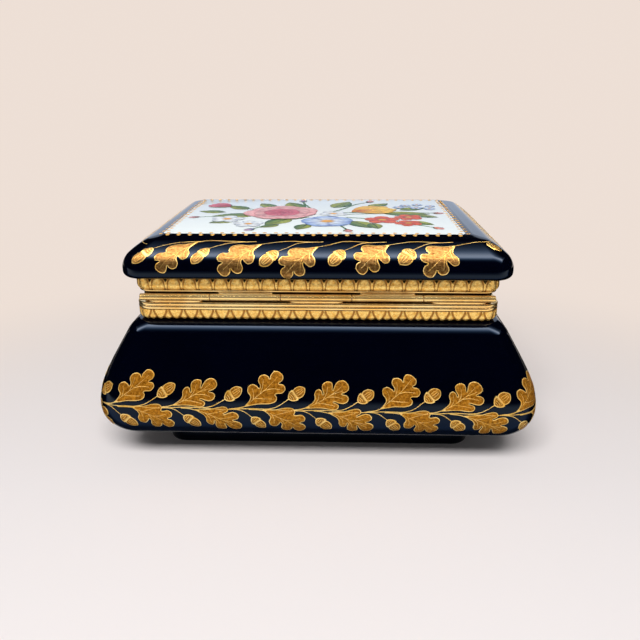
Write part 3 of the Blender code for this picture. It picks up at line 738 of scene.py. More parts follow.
oak = {
    "longLeaf": {
        "edge": [
            (0, -0.12), (1.5, 1.1), (2.9, 2.2), (3.6, 3.5), (3.5, 5.2), (4.1, 6.4), (5.2, 6.9),
            (6.2, 6.3), (6.5, 5.4), (6.65, 4.9), (6.75, 5.5), (6.3, 7.0), (6.5, 8.6), (8.1, 9.6),
            (9.8, 9.3), (10.3, 8.3), (10.15, 7.1), (10.25, 6.5), (10.6, 7.4), (11.6, 9.2), (13.2, 10.0),
            (15.0, 9.6), (16.1, 8.0), (15.9, 6.5), (14.7, 5.6), (13.4, 5.1), (15.0, 4.7), (15.8, 3.6),
            (15.3, 2.2), (13.8, 1.5), (12.0, 1.8), (10.9, 2.25), (10.2, 2.25), (11.7, 1.55), (12.2, 0.7),
            (11.7, -0.4), (10.4, -0.8), (8.6, -0.6), (6.5, -0.2), (4.0, -0.1), (1.8, -0.2),
        ],
        "midrib": [(0.4, 0.05), (4.2, 1.7), (8.6, 4.2), (11.4, 6.1), (13.6, 7.9)],
        "veins": [
            [(3.6, 1.4), (4.9, 3.2), (5.2, 5.4)], [(6.6, 3.1), (7.9, 5.2), (8.4, 7.8)],
            [(8.2, 4.0), (11.2, 4.0), (13.9, 3.3)], [(4.6, 1.9), (7.6, 1.5), (10.8, 0.7)],
            [(9.6, 4.9), (11.6, 5.5), (13.8, 6.3)],
        ],
    },
    "broadLeaf": {
        "edge": [
            (0, -0.16), (1.0, 1.0), (2.0, 2.1), (2.4, 3.4), (1.5, 5.1), (1.9, 7.1), (3.7, 7.7),
            (5.2, 6.7), (5.75, 6.0), (6.05, 6.9), (5.4, 8.7), (6.2, 10.3), (8.0, 10.6), (9.4, 9.7),
            (9.75, 8.9), (10.1, 10.2), (11.5, 11.5), (13.4, 11.0), (14.7, 9.3), (14.2, 7.7), (12.9, 6.9),
            (14.6, 6.3), (15.2, 4.7), (14.0, 3.3), (12.2, 3.3), (11.4, 3.0), (11.9, 2.0), (11.2, 0.5),
            (8.8, -0.1), (5.2, 0.2), (2.5, 0.0),
        ],
        "midrib": [(0.4, 0.1), (4.4, 2.9), (8.4, 5.6), (12.6, 9.3)],
        "veins": [
            [(3.4, 2.3), (3.7, 4.4), (3.3, 6.2)], [(6.0, 4.0), (7.0, 6.4), (7.4, 9.0)],
            [(7.4, 4.9), (10.2, 5.3), (13.3, 4.7)], [(4.2, 2.6), (7.2, 2.0), (10.2, 1.7)],
        ],
    },
    "rim": 0.34, "spacing": 0.6, "rimHeight": 0.08, "fillHeight": 0.045, "sunk": 0.02, "edgeSteps": 4,
    "ribWidth": 0.09, "ribHeight": 0.03, "ribSteps": 4,
    "ribTip": 0.5,  # width at the end of a rib against its start
    "lidShare": 0.89,  # the lid's leaves are shorter
    "capHalf": [(0.0, 0.3), (0.45, 1.05), (1.4, 1.8), (2.4, 2.1), (2.9, 1.9), (2.75, 0.9)],
    "nutHalf": [(2.7, 1.0), (2.95, 1.8), (3.7, 2.05), (4.6, 2.05), (5.6, 1.75), (6.4, 1.05), (6.9, 0.3)],
    "cupRise": 0.04, "cupBandWidth": 0.084, "nutLineWidth": 0.07,
    "cupBands": [(x, 0.75 * math.sqrt(x + 0.4)) for x in (0.75, 1.45, 2.1)], "cupBow": 0.2,
    "nutLines": (-0.7, 0.0, 0.7), "nutRun": ((3.3, 1.0), (4.7, 1.1), (6.0, 0.6)),
}


def leafLift(distance):
    # a raised rim round a lower field
    rim, top = oak["rim"], oak["rimHeight"]
    return np.interp(distance, (0, 0.5 * rim, rim, 2.0 * rim), (-oak["sunk"], top, top, oak["fillHeight"]))


def mirrored(half):
    return half + [(x, -y) for x, y in reversed(half)]


def leafField(outline):
    return fillOutline(smoothLoop(outline, oak["edgeSteps"]), oak["rim"], oak["spacing"], leafLift)


def drawnLine(line, width, ground, tip=1.0):
    path = smoothLine(line, oak["ribSteps"])
    widths = np.linspace(width, tip * width, len(path))
    return raised(ribbon(path, widths, oak["ribHeight"]), ground)


def buildLeaf(form):
    lines = [form["midrib"]] + form["veins"]
    ribs = [drawnLine(line, oak["ribWidth"], oak["fillHeight"], oak["ribTip"]) for line in lines]
    return joinMotifs(leafField(form["edge"]), *ribs)


def buildAcorn():
    nut, cap = (leafField(mirrored(oak[half])) for half in ("nutHalf", "capHalf"))
    lines = []
    for x, reach in oak["cupBands"]:
        bow = [(x, -reach), (x + oak["cupBow"], 0), (x, reach)]
        lines.append(drawnLine(bow, oak["cupBandWidth"], oak["fillHeight"] + oak["cupRise"]))
    for way in oak["nutLines"]:
        run = [(x, share * way) for x, share in oak["nutRun"]]
        lines.append(drawnLine(run, oak["nutLineWidth"], oak["fillHeight"]))
    return joinMotifs(nut, raised(cap, oak["cupRise"]), *lines)


def squeezed(points, share):
    return [(share * x, y) for x, y in points]


def shortForm(form, share):
    return {
        "edge": squeezed(form["edge"], share),
        "midrib": squeezed(form["midrib"], share),
        "veins": [squeezed(vein, share) for vein in form["veins"]],
    }


leafMotifs = [buildLeaf(oak[form]) for form in ("longLeaf", "broadLeaf")]
lidLeafMotif = buildLeaf(shortForm(oak["broadLeaf"], oak["lidShare"]))
acornMotif = buildAcorn()


def uneven(spread):
    return hand.uniform(-spread, spread)


stems = {"height": 0.06, "tip": 0.7, "sprigSteps": 6, "stemSteps": 12}


def sprig(points, width):
    path = smoothLine(points, stems["sprigSteps"])
    return ribbon(path, np.linspace(width, stems["tip"] * width, len(path)), stems["height"])


# place of a leaf or acorn: u and t from its repeat, turn in degrees, size
baseGarland = {
    "repeats": 23, "phase": -3.2, "stemHeight": 1.5, "stemSwing": 0.25, "stemWidth": 0.15, "drift": 1.0,
    "pair": (
        {"shift": 0.0, "leaf": (-0.1, 2.35, 2.5, 0.93), "acorn": (17.4, 4.8, 35.0, 0.95),
         "lowLeaf": (7.4, 0.7, 5.0, 0.9), "lowAcorn": (3.7, -1.3, -40.0, 0.93)},
        {"shift": 0.4, "leaf": (1.9, 2.6, 7.0, 0.91), "acorn": (16.5, 5.4, 37.0, 0.95),
         "lowLeaf": (7.8, 1.3, 8.0, 0.88), "lowAcorn": (4.3, -1.4, -48.0, 0.9)},
    ),
    # its sprig: where it leaves the stem, where it bends and how much it has climbed there,
    # how far it runs in and up at the end, and its width against the stem's
    "sprigs": {
        "leaf": (4.5, 1.6, 0.4, 0.7, 0.2, 1.4), "lowLeaf": (4.5, 1.8, 0.4, 0.7, -0.2, 1.4),
        "acorn": (8.5, 4.2, 0.25, 0.3, 0.2, 1.0), "lowAcorn": (7.5, 3.2, 0.2, 0.3, -0.2, 1.0),
    },
    "unevenAlong": 0.4, "unevenUp": 0.2, "unevenTurn": 1.5, "unevenSize": 0.03,
}


def layBaseGarland():
    repeats, level, width = (baseGarland[key] for key in ("repeats", "stemHeight", "stemWidth"))
    wholeWay = baseSurface["length"]
    period = wholeWay / repeats
    motifs = []
    for k in range(-(repeats // 2), repeats - repeats // 2):
        form = k % 2
        pair = baseGarland["pair"][form]
        u = baseGarland["phase"] + k * period + pair["shift"] + uneven(baseGarland["unevenAlong"])
        for kind, (leave, bend, climb, end, endUp, thick) in baseGarland["sprigs"].items():
            x, y, lie, size = pair[kind]
            x += u
            y += uneven(baseGarland["unevenUp"])
            lie = math.radians(lie + uneven(baseGarland["unevenTurn"]))
            size *= 1 + uneven(baseGarland["unevenSize"])
            motif = acornMotif if kind in ("acorn", "lowAcorn") else leafMotifs[form]
            motifs.append(turned(motif, (x, y), lie, size, kind == "lowLeaf"))
            run = [(x - leave, level), (x - bend, level + climb * (y - level)), (x + end, y + endUp)]
            motifs.append(sprig(run, thick * width))
    u = np.linspace(0, wholeWay, repeats * stems["stemSteps"] + 1)
    swing = baseGarland["stemSwing"] * np.sin(2 * math.pi * (u - baseGarland["phase"]) / period)
    motifs.append(ribbon(np.stack((u, level + swing), 1), width, stems["height"]))
    # laid by hand, the garland sinks a little to one side
    for motif in motifs:
        motif["flat"][:, 1] -= baseGarland["drift"] * np.sin(2 * math.pi * motif["flat"][:, 0] / wholeWay)
    return motifs


baseGilding = laidPiece(
    "baseGarland", "base", baseSurface, layBaseGarland(), [burnishedGold, stippledGold]
)

lidGarland = {
    "stemHeight": 6.2, "stemWidth": 0.1, "shortPitch": 22.0, "shortCount": 3,
    "leaves": [
        (-40.7, 5.8, 189.0, 0.89), (-18.3, 4.9, 183.0, 1.0), (0.9, 3.9, 182.0, 0.96),
        (24.8, 4.8, 178.0, 0.94), (46.6, 4.5, 178.0, 1.0),
    ],
    "acorns": [
        (-54.2, 3.0, 236.0, 1.0), (-35.6, 3.0, 236.0, 0.98), (-12.5, 2.0, 228.0, 1.05),
        (9.2, 2.35, 225.0, 1.05), (31.9, 2.8, 222.0, 1.12),
    ],
    "closing": (58.2, 5.3, -30.0, 0.8), "shortStem": 5.0,
    "shortLeaf": (18.2, 3.8, 182.0, 0.94), "shortAcorn": (6.0, 2.2, 230.0, 1.05),
    # sprig points: two counted from the stem's height, then two from the motif's foot
    "leafSprig": ((17.0, -0.2), (9.0, 0.2), (3.2, 0.75), (-0.7, -0.1)),
    "acornSprig": ((15.0, 0.0), (7.0, -0.6), (2.6, 1.2), (-0.3, -0.2)),
    "unevenLeaf": 2.0, "unevenAcorn": 3.0,
}


def layLidSide(middle, leaves, acorns, level):
    motifs = []
    for kind, motif, spots in (("leaf", lidLeafMotif, leaves), ("acorn", acornMotif, acorns)):
        spread = lidGarland["uneven" + kind.title()]
        for x, y, lie, size in spots:
            x += middle
            motifs.append(turned(motif, (x, y), math.radians(lie + uneven(spread)), size))
            points = lidGarland[kind + "Sprig"]
            run = [(x + a, level + b) for a, b in points[:2]] + [(x + a, y + b) for a, b in points[2:]]
            motifs.append(sprig(run, lidGarland["stemWidth"]))
    return motifs


def layLidGarland():
    stops = lidSurface["stops"]
    x, y, lie, size = lidGarland["closing"]
    motifs = []
    for middle in (0.0, (stops[4] + stops[5]) / 2):
        motifs += layLidSide(middle, lidGarland["leaves"], lidGarland["acorns"], lidGarland["stemHeight"])
        motifs.append(turned(acornMotif, (middle + x, y), math.radians(lie), size))
    steps = (np.arange(lidGarland["shortCount"]) - lidGarland["shortCount"] / 2) * lidGarland["shortPitch"]
    leaf, acorn = lidGarland["shortLeaf"], lidGarland["shortAcorn"]
    leaves = [(leaf[0] + step, *leaf[1:]) for step in steps]
    acorns = [(acorn[0] + step, *acorn[1:]) for step in steps]
    for middle in ((stops[2] + stops[3]) / 2, (stops[6] + stops[7]) / 2):
        motifs += layLidSide(middle, leaves, acorns, lidGarland["shortStem"])
    return motifs


# the lid's leaves take the paler lit copy of the stippled gold
lidGilding = laidPiece(
    "lidGarland", "lid", lidSurface, layLidGarland(), [burnishedGold, lidLitStipple]
)
print("garlands:", len(baseGilding.data.polygons), "and", len(lidGilding.data.polygons), "faces")


# White reserve panel on the lid, with its border of gold dots

panel = {
    "inset": 22.5, "corner": 1.5, "height": 76.95, "thickness": 0.1, "round": 0.07, "sunk": 0.2,
    "narrow": 0.978, "shift": 1.15, "cornerSteps": 10,
    "dots": 91, "dotRadius": 0.74, "dotRise": 0.17, "dotSunk": 0.04, "dotRings": (0.0, 0.3, 0.6, 0.85),
    "innerRow": -0.85, "outerRow": 0.85, "dotSides": 16, "unevenDot": 0.1, "unevenSize": 0.08,
}
panelTop = panel["height"] + panel["thickness"]
panelSoft = roundMiddle * panel["round"]


def onReserve(points):
    # the painted reserve is a little narrower than the flat of the lid, and off its middle
    return np.asarray(points) * (panel["narrow"], 1, 1) + (panel["shift"], 0, 0)


panelPoints, panelFaces, panelFinish = loftRuns([(0, [
    (panel["inset"], panel["height"] - panel["sunk"], panel["corner"]),
    (panel["inset"], panelTop - panel["round"], panel["corner"]),
    (panel["inset"] + panelSoft, panelTop - panelSoft, panel["corner"]),
    (panel["inset"] + panel["round"], panelTop, panel["corner"]),
])], panel["cornerSteps"])
addPiece("whitePanel", "lid", onReserve(panelPoints), panelFaces, [whiteGlaze], panelFinish)


def buildDot():
    # a low dome, as rings from the rim to the top
    sides, rings, low = panel["dotSides"], panel["dotRings"], panel["dotSunk"]
    angles = np.arange(sides) * 2 * math.pi / sides
    flat, lift, faces = [], [], []
    for share in rings:
        reach = panel["dotRadius"] * math.cos(share * math.pi / 2)
        flat.append(reach * np.stack((np.cos(angles), np.sin(angles)), 1))
        lift.append(np.full(sides, panel["dotRise"] * math.sin(share * math.pi / 2) - low))
    flat.append(np.zeros((1, 2)))
    lift.append(np.array([panel["dotRise"] - low]))
    for a, b, c, d in ringQuads(len(rings), sides):
        faces += [(a, b, c), (a, c, d)]
    last = (len(rings) - 1) * sides
    faces += [(last + k, last + (k + 1) % sides, last + sides) for k in range(sides)]
    return {"flat": np.concatenate(flat), "lift": np.concatenate(lift), "faces": np.array(faces)}


lidInset, lidHeight = np.array([section[:2] for section in lidOuter if section[1] >= crest[1]]).T


def dotRow(name, row, start):
    # dots set along the edge of the reserve, each point dropped onto the lid or the panel
    sections = [(panel["inset"] - row, height, panel["corner"]) for height in (0, 1)]
    edge = decorSurface(sections, 0, panel["inset"], panel["corner"])
    u = (np.arange(panel["dots"]) + start) * edge["length"] / panel["dots"]
    motif, dots, spread = buildDot(), [], panel["unevenDot"]
    for centre in onReserve(onSurface(edge, u, 0 * u, 0 * u))[:, :2]:
        at = centre + (uneven(spread), uneven(spread))
        dots.append(turned(motif, at, 0, 1 + uneven(panel["unevenSize"])))
    sheet = joinMotifs(*dots)
    inset = (np.array((plan["width"], plan["depth"])) / 2 - np.abs(sheet["flat"])).min(1)
    ground = np.interp(inset, lidInset, lidHeight) if row > 0 else np.full(len(inset), panelTop)
    points = np.concatenate((sheet["flat"], (ground + sheet["lift"])[:, None]), 1)
    addPiece(name, "lid", points, sheet["faces"], [dotGold], sharp=50.0, closed=False)


dotRow("outerDots", panel["outerRow"], 0.0)
dotRow("innerDots", panel["innerRow"], 0.5)
print("panel and dots ready")


# Flower spray painted on the reserve: a runs to the right in the photo, b away from its camera

paint = {
    "rose": (0.36, 0.012, 0.045), "blush": (0.72, 0.15, 0.20), "shell": (0.89, 0.50, 0.48),
    "coral": (0.50, 0.02, 0.004), "apricot": (0.82, 0.13, 0.018), "flame": (0.50, 0.045, 0.007),
    "butter": (0.93, 0.63, 0.05), "yolk": (0.85, 0.37, 0.006), "chalk": (0.86, 0.88, 0.89),
    "dove": (0.34, 0.42, 0.57), "sky": (0.33, 0.49, 0.81), "iris": (0.05, 0.10, 0.41),
    "umber": (0.10, 0.025, 0.008),
    "moss": (0.004, 0.034, 0.009), "leaf": (0.032, 0.13, 0.013), "lime": (0.42, 0.44, 0.018),
}
spray = {
    "rise": 0.02, "layer": 0.0015, "spacing": 0.8,
    "stems": [
        [(-45, -6), (-36, -4), (-24, 0), (-10, 0)], [(43, 3), (36, 4), (24, 2), (8, 0)],
        [(-38, 17), (-30, 12), (-22, 8), (-12, 4)], [(40, -24), (34, -19), (24, -11), (10, -6)],
        [(37, 16), (30, 12), (20, 6), (8, 3)], [(-8, 28), (-7, 22), (-4, 12), (-2, 4)],
        [(-22, -27), (-18, -20), (-12, -12), (-4, -6)], [(19, 27), (14, 22), (9, 12), (4, 4)],
        [(10, -28), (8, -22), (5, -12), (2, -4)],
    ],
    # a, b, turn, length and width
    "leaves": [
        (-24, -2, 186, 17, 9), (-8, 12, 112, 16, 8.5), (5, 14, 66, 16, 8.5), (24, 2, -4, 18, 9),
        (-11, -8, 238, 15, 8.5), (12, -13, -62, 14, 8), (-37, 4, 170, 11, 6), (31, -13, -34, 12, 6.5),
        (31, 9, 28, 12, 6), (-29, 10, 136, 12, 6.5), (-4, -19, 252, 10, 6), (19, 16, 46, 12, 6.5),
        (-19, 14, 122, 12, 6.5), (19, -17, -80, 10, 5.5), (-30, -12, 210, 11, 6), (36, -2, -24, 9, 5),
        (-14, -20, 220, 8, 4.5),
    ],
    "buds": [(-45, -6, 196, "rose"), (43, 3, -6, "coral"), (40, -24, -46, "apricot"), (-8, 28, 96, "iris"),
             (-22, -27, 232, "iris"), (19, 27, 58, "rose"), (10, -28, -80, "coral")],
    "rose": (-15, 3, 14.5), "rosebud": (-37, 16, 148, 10.0), "tulip": (12, 5, 26, 19.0),
    # a, b and radius
    "coralBlossoms": [(23, -11, 6.6), (33, -6, 5.4), (32, -17, 5.0)],
    "primroses": [(-34, -10, 6.4), (-25, -19, 5.6), (5, 1, 5.4)],
    "bindweed": [(3, -14, 9.6)],
    "forgetMeNots": [
        (38, 14, 2.8), (34, 19, 2.5), (43, 12, 2.4), (39, 21, 2.3), (31, 15, 2.4), (44, 18, 2.1),
    ],
    # petals, how deep they are cut, and colours from the heart to the edge
    "looks": {
        "forgetMeNots": (5, 0.3, "chalk", "sky", "iris"),
        "primroses": (5, 0.3, "chalk", "chalk", "dove"),
        "coralBlossoms": (5, 0.3, "coral", "apricot", "coral"),
        "bindweed": (5, 0.1, "chalk", "sky", "iris"),
    },
    # a rose's rounds: petals, start, length, width, heart and tip
    "roseRounds": (
        (7, 0.1, 0.9, 0.9, "blush", "shell"), (6, 0.06, 0.7, 0.78, "rose", "shell"),
        (5, 0.03, 0.48, 0.6, "rose", "blush"), (3, 0.0, 0.28, 0.36, "rose", "blush"),
    ),
    "tulipPetals": ((-0.42, 0.86), (0.42, 0.86), (-0.18, 0.98), (0.2, 0.96), (0.0, 0.9)),
    "stemStroke": 0.42, "ribStroke": 0.32, "flameStroke": 0.34, "strokeSteps": 6, "bladeSteps": 15,
    "strokeTip": 0.3, "stemTip": 1.2,  # width at the end of a stroke against its start
    "patchBand": 0.3,  # band along the edge of a patch, against its spacing
    "blossomSteps": 7,  # least number of steps from the middle of a blossom to its edge
    "anyTurn": 6.3, "unevenTurn": 0.12, "unevenLength": (0.93, 1.05),  # turns in radians
    "petalForm": (1.5, 0.6), "leafForm": (0.85, 0.9),  # where a blade is widest, and how blunt it is
    # turn, length and width of a bud's two small leaves, and length and width of its petal
    "budLeaf": (30, 3.4, 1.3), "budPetal": (4.4, 2.6),
    # turn in radians, then length and width against the rosebud's length
    "sepal": (0.7, 0.7, 0.22), "rosebudPetal": (0.3, 1.0, 0.6),
    "tulipWidth": 0.44, "flameLines": (-0.06, 0.0, 0.06),
    # points of a flame line: place along the petal, how much further the outer lines go, and their spread
    "flameRun": ((0.1, 0, 0.5), (0.4, 0, 1.0), (0.62, 1, 1.4)),
    # brush marks: a depth is a share of colour, a width is in mm or, on a blossom, a share of its radius
    "petalMarks": {"fade": 0.8, "streaks": 26, "streakDepth": 0.35, "edgeDepth": 0.6, "edgeWidth": 0.45},
    "leafMarks": {
        "light": 0.45, "tilt": 1.3, "veinSlant": 1.1, "veinGap": 2.2, "veinDepth": 0.5,
        "edgeDepth": 0.75, "edgeWidth": 0.4, "rib": ((0.0, 0.0), (0.5, 0.3), (0.94, 0.0)),
    },
    "blossomMarks": {
        "fadeFrom": 0.15, "fadeWidth": 0.8, "gapDepth": 0.75, "edgeDepth": 0.65, "edgeWidth": 0.09,
        "ringAt": 0.25, "ringWidth": 0.05, "ringDepth": 0.5, "heart": 0.26, "heartSoft": 0.06,
        "points": 12, "lobe": 0.8,
    },
}
brush = random.Random(5)
paintLayers = []


def washed(tint, colour, share):
    share = np.clip(share, 0, 1)[:, None]
    return (1 - share) * tint + share * np.array(paint[colour])


def spun(points, at, angle):
    c, s = math.cos(angle), math.sin(angle)
    return [(at[0] + c * x - s * y, at[1] + s * x + c * y) for x, y in points]


def addLayer(patch, tint):
    count = len(patch["flat"])
    rise = spray["rise"] + spray["layer"] * len(paintLayers)
    paintLayers.append({
        "flat": patch["flat"], "faces": patch["faces"], "lift": np.full(count, rise),
        "tint": np.concatenate((tint, np.ones((count, 1))), 1),
    })


def paintPatch(loop, spacing, at, angle, tintOf):
    patch = fillOutline(loop, spray["patchBand"] * spacing, spacing, lambda distance: distance)
    addLayer(turned(patch, at, angle), tintOf(patch["flat"], patch["lift"]))


def bladeLoop(length, width, widest, blunt):
    s = np.linspace(0, 1, spray["bladeSteps"])
    half = width / 2 * np.sin(math.pi * s ** widest) ** blunt
    return np.concatenate((np.stack((s * length, half), 1), np.stack((s * length, -half), 1)[-2:0:-1]))


def paintStroke(points, width, colour, tip=spray["strokeTip"]):
    path = smoothLine(points, spray["strokeSteps"])
    patch = ribbon(path, np.linspace(width, tip * width, len(path)), 0)
    addLayer(patch, np.tile(paint[colour], (len(patch["flat"]), 1)))


def paintPetal(at, angle, length, width, heart, tip, edge):
    marks = spray["petalMarks"]

    def tintOf(flat, distance):
        along = flat[:, 0] / length
        tint = washed(np.tile(paint[heart], (len(flat), 1)), tip, along ** marks["fade"])
        streaks = 0.5 + 0.5 * np.cos(flat[:, 1] / width * marks["streaks"])
        tint = washed(tint, heart, marks["streakDepth"] * streaks * (1 - along))
        return washed(tint, edge, marks["edgeDepth"] * np.exp(-distance / marks["edgeWidth"]))
    paintPatch(bladeLoop(length, width, *spray["petalForm"]), spray["spacing"], at, angle, tintOf)


def paintLeaf(at, angle, length, width):
    marks = spray["leafMarks"]

    def tintOf(flat, distance):
        light = marks["light"] + marks["tilt"] * flat[:, 1] / width
        tint = washed(np.tile(paint["leaf"], (len(flat), 1)), "lime", light)
        along = flat[:, 0] - marks["veinSlant"] * np.abs(flat[:, 1])
        veined = np.clip(np.cos(2 * math.pi * along / marks["veinGap"]), 0, 1) ** 3
        tint = washed(tint, "moss", marks["veinDepth"] * veined)
        return washed(tint, "moss", marks["edgeDepth"] * np.exp(-distance / marks["edgeWidth"]))
    paintPatch(bladeLoop(length, width, *spray["leafForm"]), spray["spacing"], at, angle, tintOf)
    rib = spun([(share * length, y) for share, y in marks["rib"]], at, angle)
    paintStroke(rib, spray["ribStroke"], "moss")


def paintBlossom(at, radius, look):
    # petals round a heart, in one patch
    petals, depth, inner, outer, rim = look
    marks = spray["blossomMarks"]

    def lobes(angle):
        return np.abs(np.cos(petals / 2 * angle))

    def tintOf(flat, distance):
        angle = np.arctan2(flat[:, 1], flat[:, 0])
        rho = np.hypot(flat[:, 0], flat[:, 1]) / radius
        fade = (rho - marks["fadeFrom"]) / marks["fadeWidth"]
        tint = washed(np.tile(paint[inner], (len(flat), 1)), outer, fade)
        tint = washed(tint, rim, marks["gapDepth"] * (1 - lobes(angle)) ** 3)
        tint = washed(tint, rim, marks["edgeDepth"] * np.exp(-distance / (marks["edgeWidth"] * radius)))
        ring = np.exp(-((rho - marks["ringAt"]) / marks["ringWidth"]) ** 2)
        tint = washed(tint, "umber", marks["ringDepth"] * ring)
        return washed(tint, "yolk", (marks["heart"] - rho) / marks["heartSoft"])
    around = np.linspace(0, 2 * math.pi, marks["points"] * petals, endpoint=False)
    reach = radius * (1 - depth * (1 - lobes(around) ** marks["lobe"]))
    loop = reach[:, None] * np.stack((np.cos(around), np.sin(around)), 1)
    spacing = min(spray["spacing"], radius / spray["blossomSteps"])
    paintPatch(loop, spacing, at, brush.uniform(0, spray["anyTurn"]), tintOf)


def paintRose(at, radius):
    spread = spray["unevenTurn"]
    for count, start, reach, width, heart, tip in spray["roseRounds"]:
        turn = brush.uniform(0, spray["anyTurn"])
        for k in range(count):
            angle = turn + 2 * math.pi * k / count + brush.uniform(-spread, spread)
            spot = (at[0] + start * radius * math.cos(angle), at[1] + start * radius * math.sin(angle))
            length = radius * reach * brush.uniform(*spray["unevenLength"])
            paintPetal(spot, angle, length, radius * width, heart, tip, "rose")


def paintTulip(at, angle, length):
    for way, reach in spray["tulipPetals"]:
        paintPetal(at, angle + way, length * reach, spray["tulipWidth"] * length, "yolk", "butter", "flame")
        for side in spray["flameLines"]:
            line = [(x + more * abs(side), spread * side) for x, more, spread in spray["flameRun"]]
            line = spun([(length * x, length * y) for x, y in line], at, angle + way)
            paintStroke(line, spray["flameStroke"], "flame")


def paintSpray():
    for stem in spray["stems"]:
        paintStroke(stem, spray["stemStroke"], "leaf", spray["stemTip"])
    for a, b, turn, length, width in spray["leaves"]:
        paintLeaf((a, b), math.radians(turn), length, width)
    aside, *leafSize = spray["budLeaf"]
    for a, b, turn, colour in spray["buds"]:
        for way in (-aside, aside):
            paintLeaf((a, b), math.radians(turn + way), *leafSize)
        paintPetal((a, b), math.radians(turn), *spray["budPetal"], colour, "shell", colour)
    for kind, look in spray["looks"].items():
        for a, b, radius in spray[kind]:
            paintBlossom((a, b), radius, look)
    a, b, turn, size = spray["rosebud"]
    aside, length, width = spray["sepal"]
    for way in (-aside, aside):
        paintLeaf((a, b), math.radians(turn) + way, length * size, width * size)
    aside, length, width = spray["rosebudPetal"]
    for way in (-aside, aside, 0.0):
        paintPetal((a, b), math.radians(turn) + way, length * size, width * size, "rose", "blush", "rose")
    a, b, turn, length = spray["tulip"]
    paintTulip((a, b), math.radians(turn), length)
    a, b, radius = spray["rose"]
    paintRose((a, b), radius)


paintSpray()
painting = joinMotifs(*paintLayers)
paintingPoints = np.concatenate((-painting["flat"], (panelTop + painting["lift"])[:, None]), 1)
addPiece(
    "flowerSpray", "lid", paintingPoints, painting["faces"], [paintedEnamel],
    sharp=50.0, closed=False, values={"tint": painting["tint"]},
)
print("flower spray:", len(paintLayers), "brush layers")


# Brass mounts: drawn mouldings and bezels

mounts = {
    "inset": 13.4, "corner": 5.5, "inner": 15.4, "cornerSteps": 12,
    "mouldingBottom": 53.15, "mouldingTop": 55.55, "beadBottom": 59.15, "beadTop": 59.75, "beadInset": 14.3,
    "bezelOuter": 15.55, "bezelInner": 16.35, "lipOuter": 20.6, "lipInner": 21.4, "lipDepth": 3.0,
    "sheet": 0.8, "baseRim": 57.2, "baseTail": 49.15, "lidRim": 57.5, "lidTail": 64.15,
    "neckInner": 20.45, "innerCorner": 3.0, "edge": 0.18,
    # a reed of a moulding: how far round it goes, its points, and how square it is outwards and upwards
    "reedTurn": 88, "reedPoints": 15, "reedOut": 0.4, "reedUp": 0.75,
}


def mountCorner(inset):
    return mounts["corner"] - (inset - mounts["inset"])


def lipCorner(inset):
    return mounts["innerCorner"] - (inset - mounts["neckInner"])


def beadRing(name, body, node, outer, bottom, top, count):
    size = (top - bottom) / count / 2
    profile = [(mounts["inner"], bottom)]
    around = np.radians(np.linspace(-mounts["reedTurn"], mounts["reedTurn"], mounts["reedPoints"]))
    for k in range(count):
        flat = outer + size * (1 - np.cos(around) ** mounts["reedOut"])
        rise = bottom + size * (2 * k + 1 + np.sign(around) * np.abs(np.sin(around)) ** mounts["reedUp"])
        profile += list(zip(flat, rise))
    profile.append((mounts["inner"], top))
    points, faces, finish = loftRuns([(0, matched(profile, mountCorner))], mounts["cornerSteps"], True)
    piece = addPiece(name, body, points, faces, [drawnBrass], finish)
    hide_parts(node)


def bezelRing(name, body, node, closing, way, tail):
    e = mounts["edge"]
    soft = roundMiddle * e
    under = closing + way * mounts["sheet"]
    lipEnd = closing + way * mounts["lipDepth"]
    outer, inner = mounts["bezelOuter"], mounts["lipInner"]
    profile = [
        (outer, tail, mountCorner(outer)),
        (outer, closing + way * e, mountCorner(outer)),
        (outer + soft, closing + way * soft, mountCorner(outer + soft)),
        (outer + e, closing, mountCorner(outer + e)),
        (inner - e, closing, lipCorner(inner - e)),
        (inner - soft, closing + way * soft, lipCorner(inner - soft)),
        (inner, closing + way * e, lipCorner(inner)),
        (inner, lipEnd, lipCorner(inner)),
        (mounts["lipOuter"], lipEnd, lipCorner(mounts["lipOuter"])),
        (mounts["lipOuter"], under, lipCorner(mounts["lipOuter"])),
        (mounts["bezelInner"], under, mountCorner(mounts["bezelInner"])),
        (mounts["bezelInner"], tail, mountCorner(mounts["bezelInner"])),
    ]
    # the set-back outer face and the tail edge take the brass painted dark for shade
    points, faces, finish = loftRuns([(1, profile[:2]), (0, profile[2:])], mounts["cornerSteps"], True)
    piece = addPiece(name, body, points, faces, [drawnBrass, shadedRecessBrass], finish)
    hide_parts(node)


beadRing(
    "baseMoulding", "base", "base_moulding",
    mounts["inset"], mounts["mouldingBottom"], mounts["mouldingTop"], 2,
)
beadRing("lidBead", "lid", "lid_bead", mounts["beadInset"], mounts["beadBottom"], mounts["beadTop"], 1)
bezelRing("baseBezel", "base", "base_bezel", mounts["baseRim"], -1, mounts["baseTail"])
bezelRing("lidBezel", "lid", "lid_bezel", mounts["lidRim"], 1, mounts["lidTail"])


# Stamped leaf strips, as a relief pushed out from the plain strip

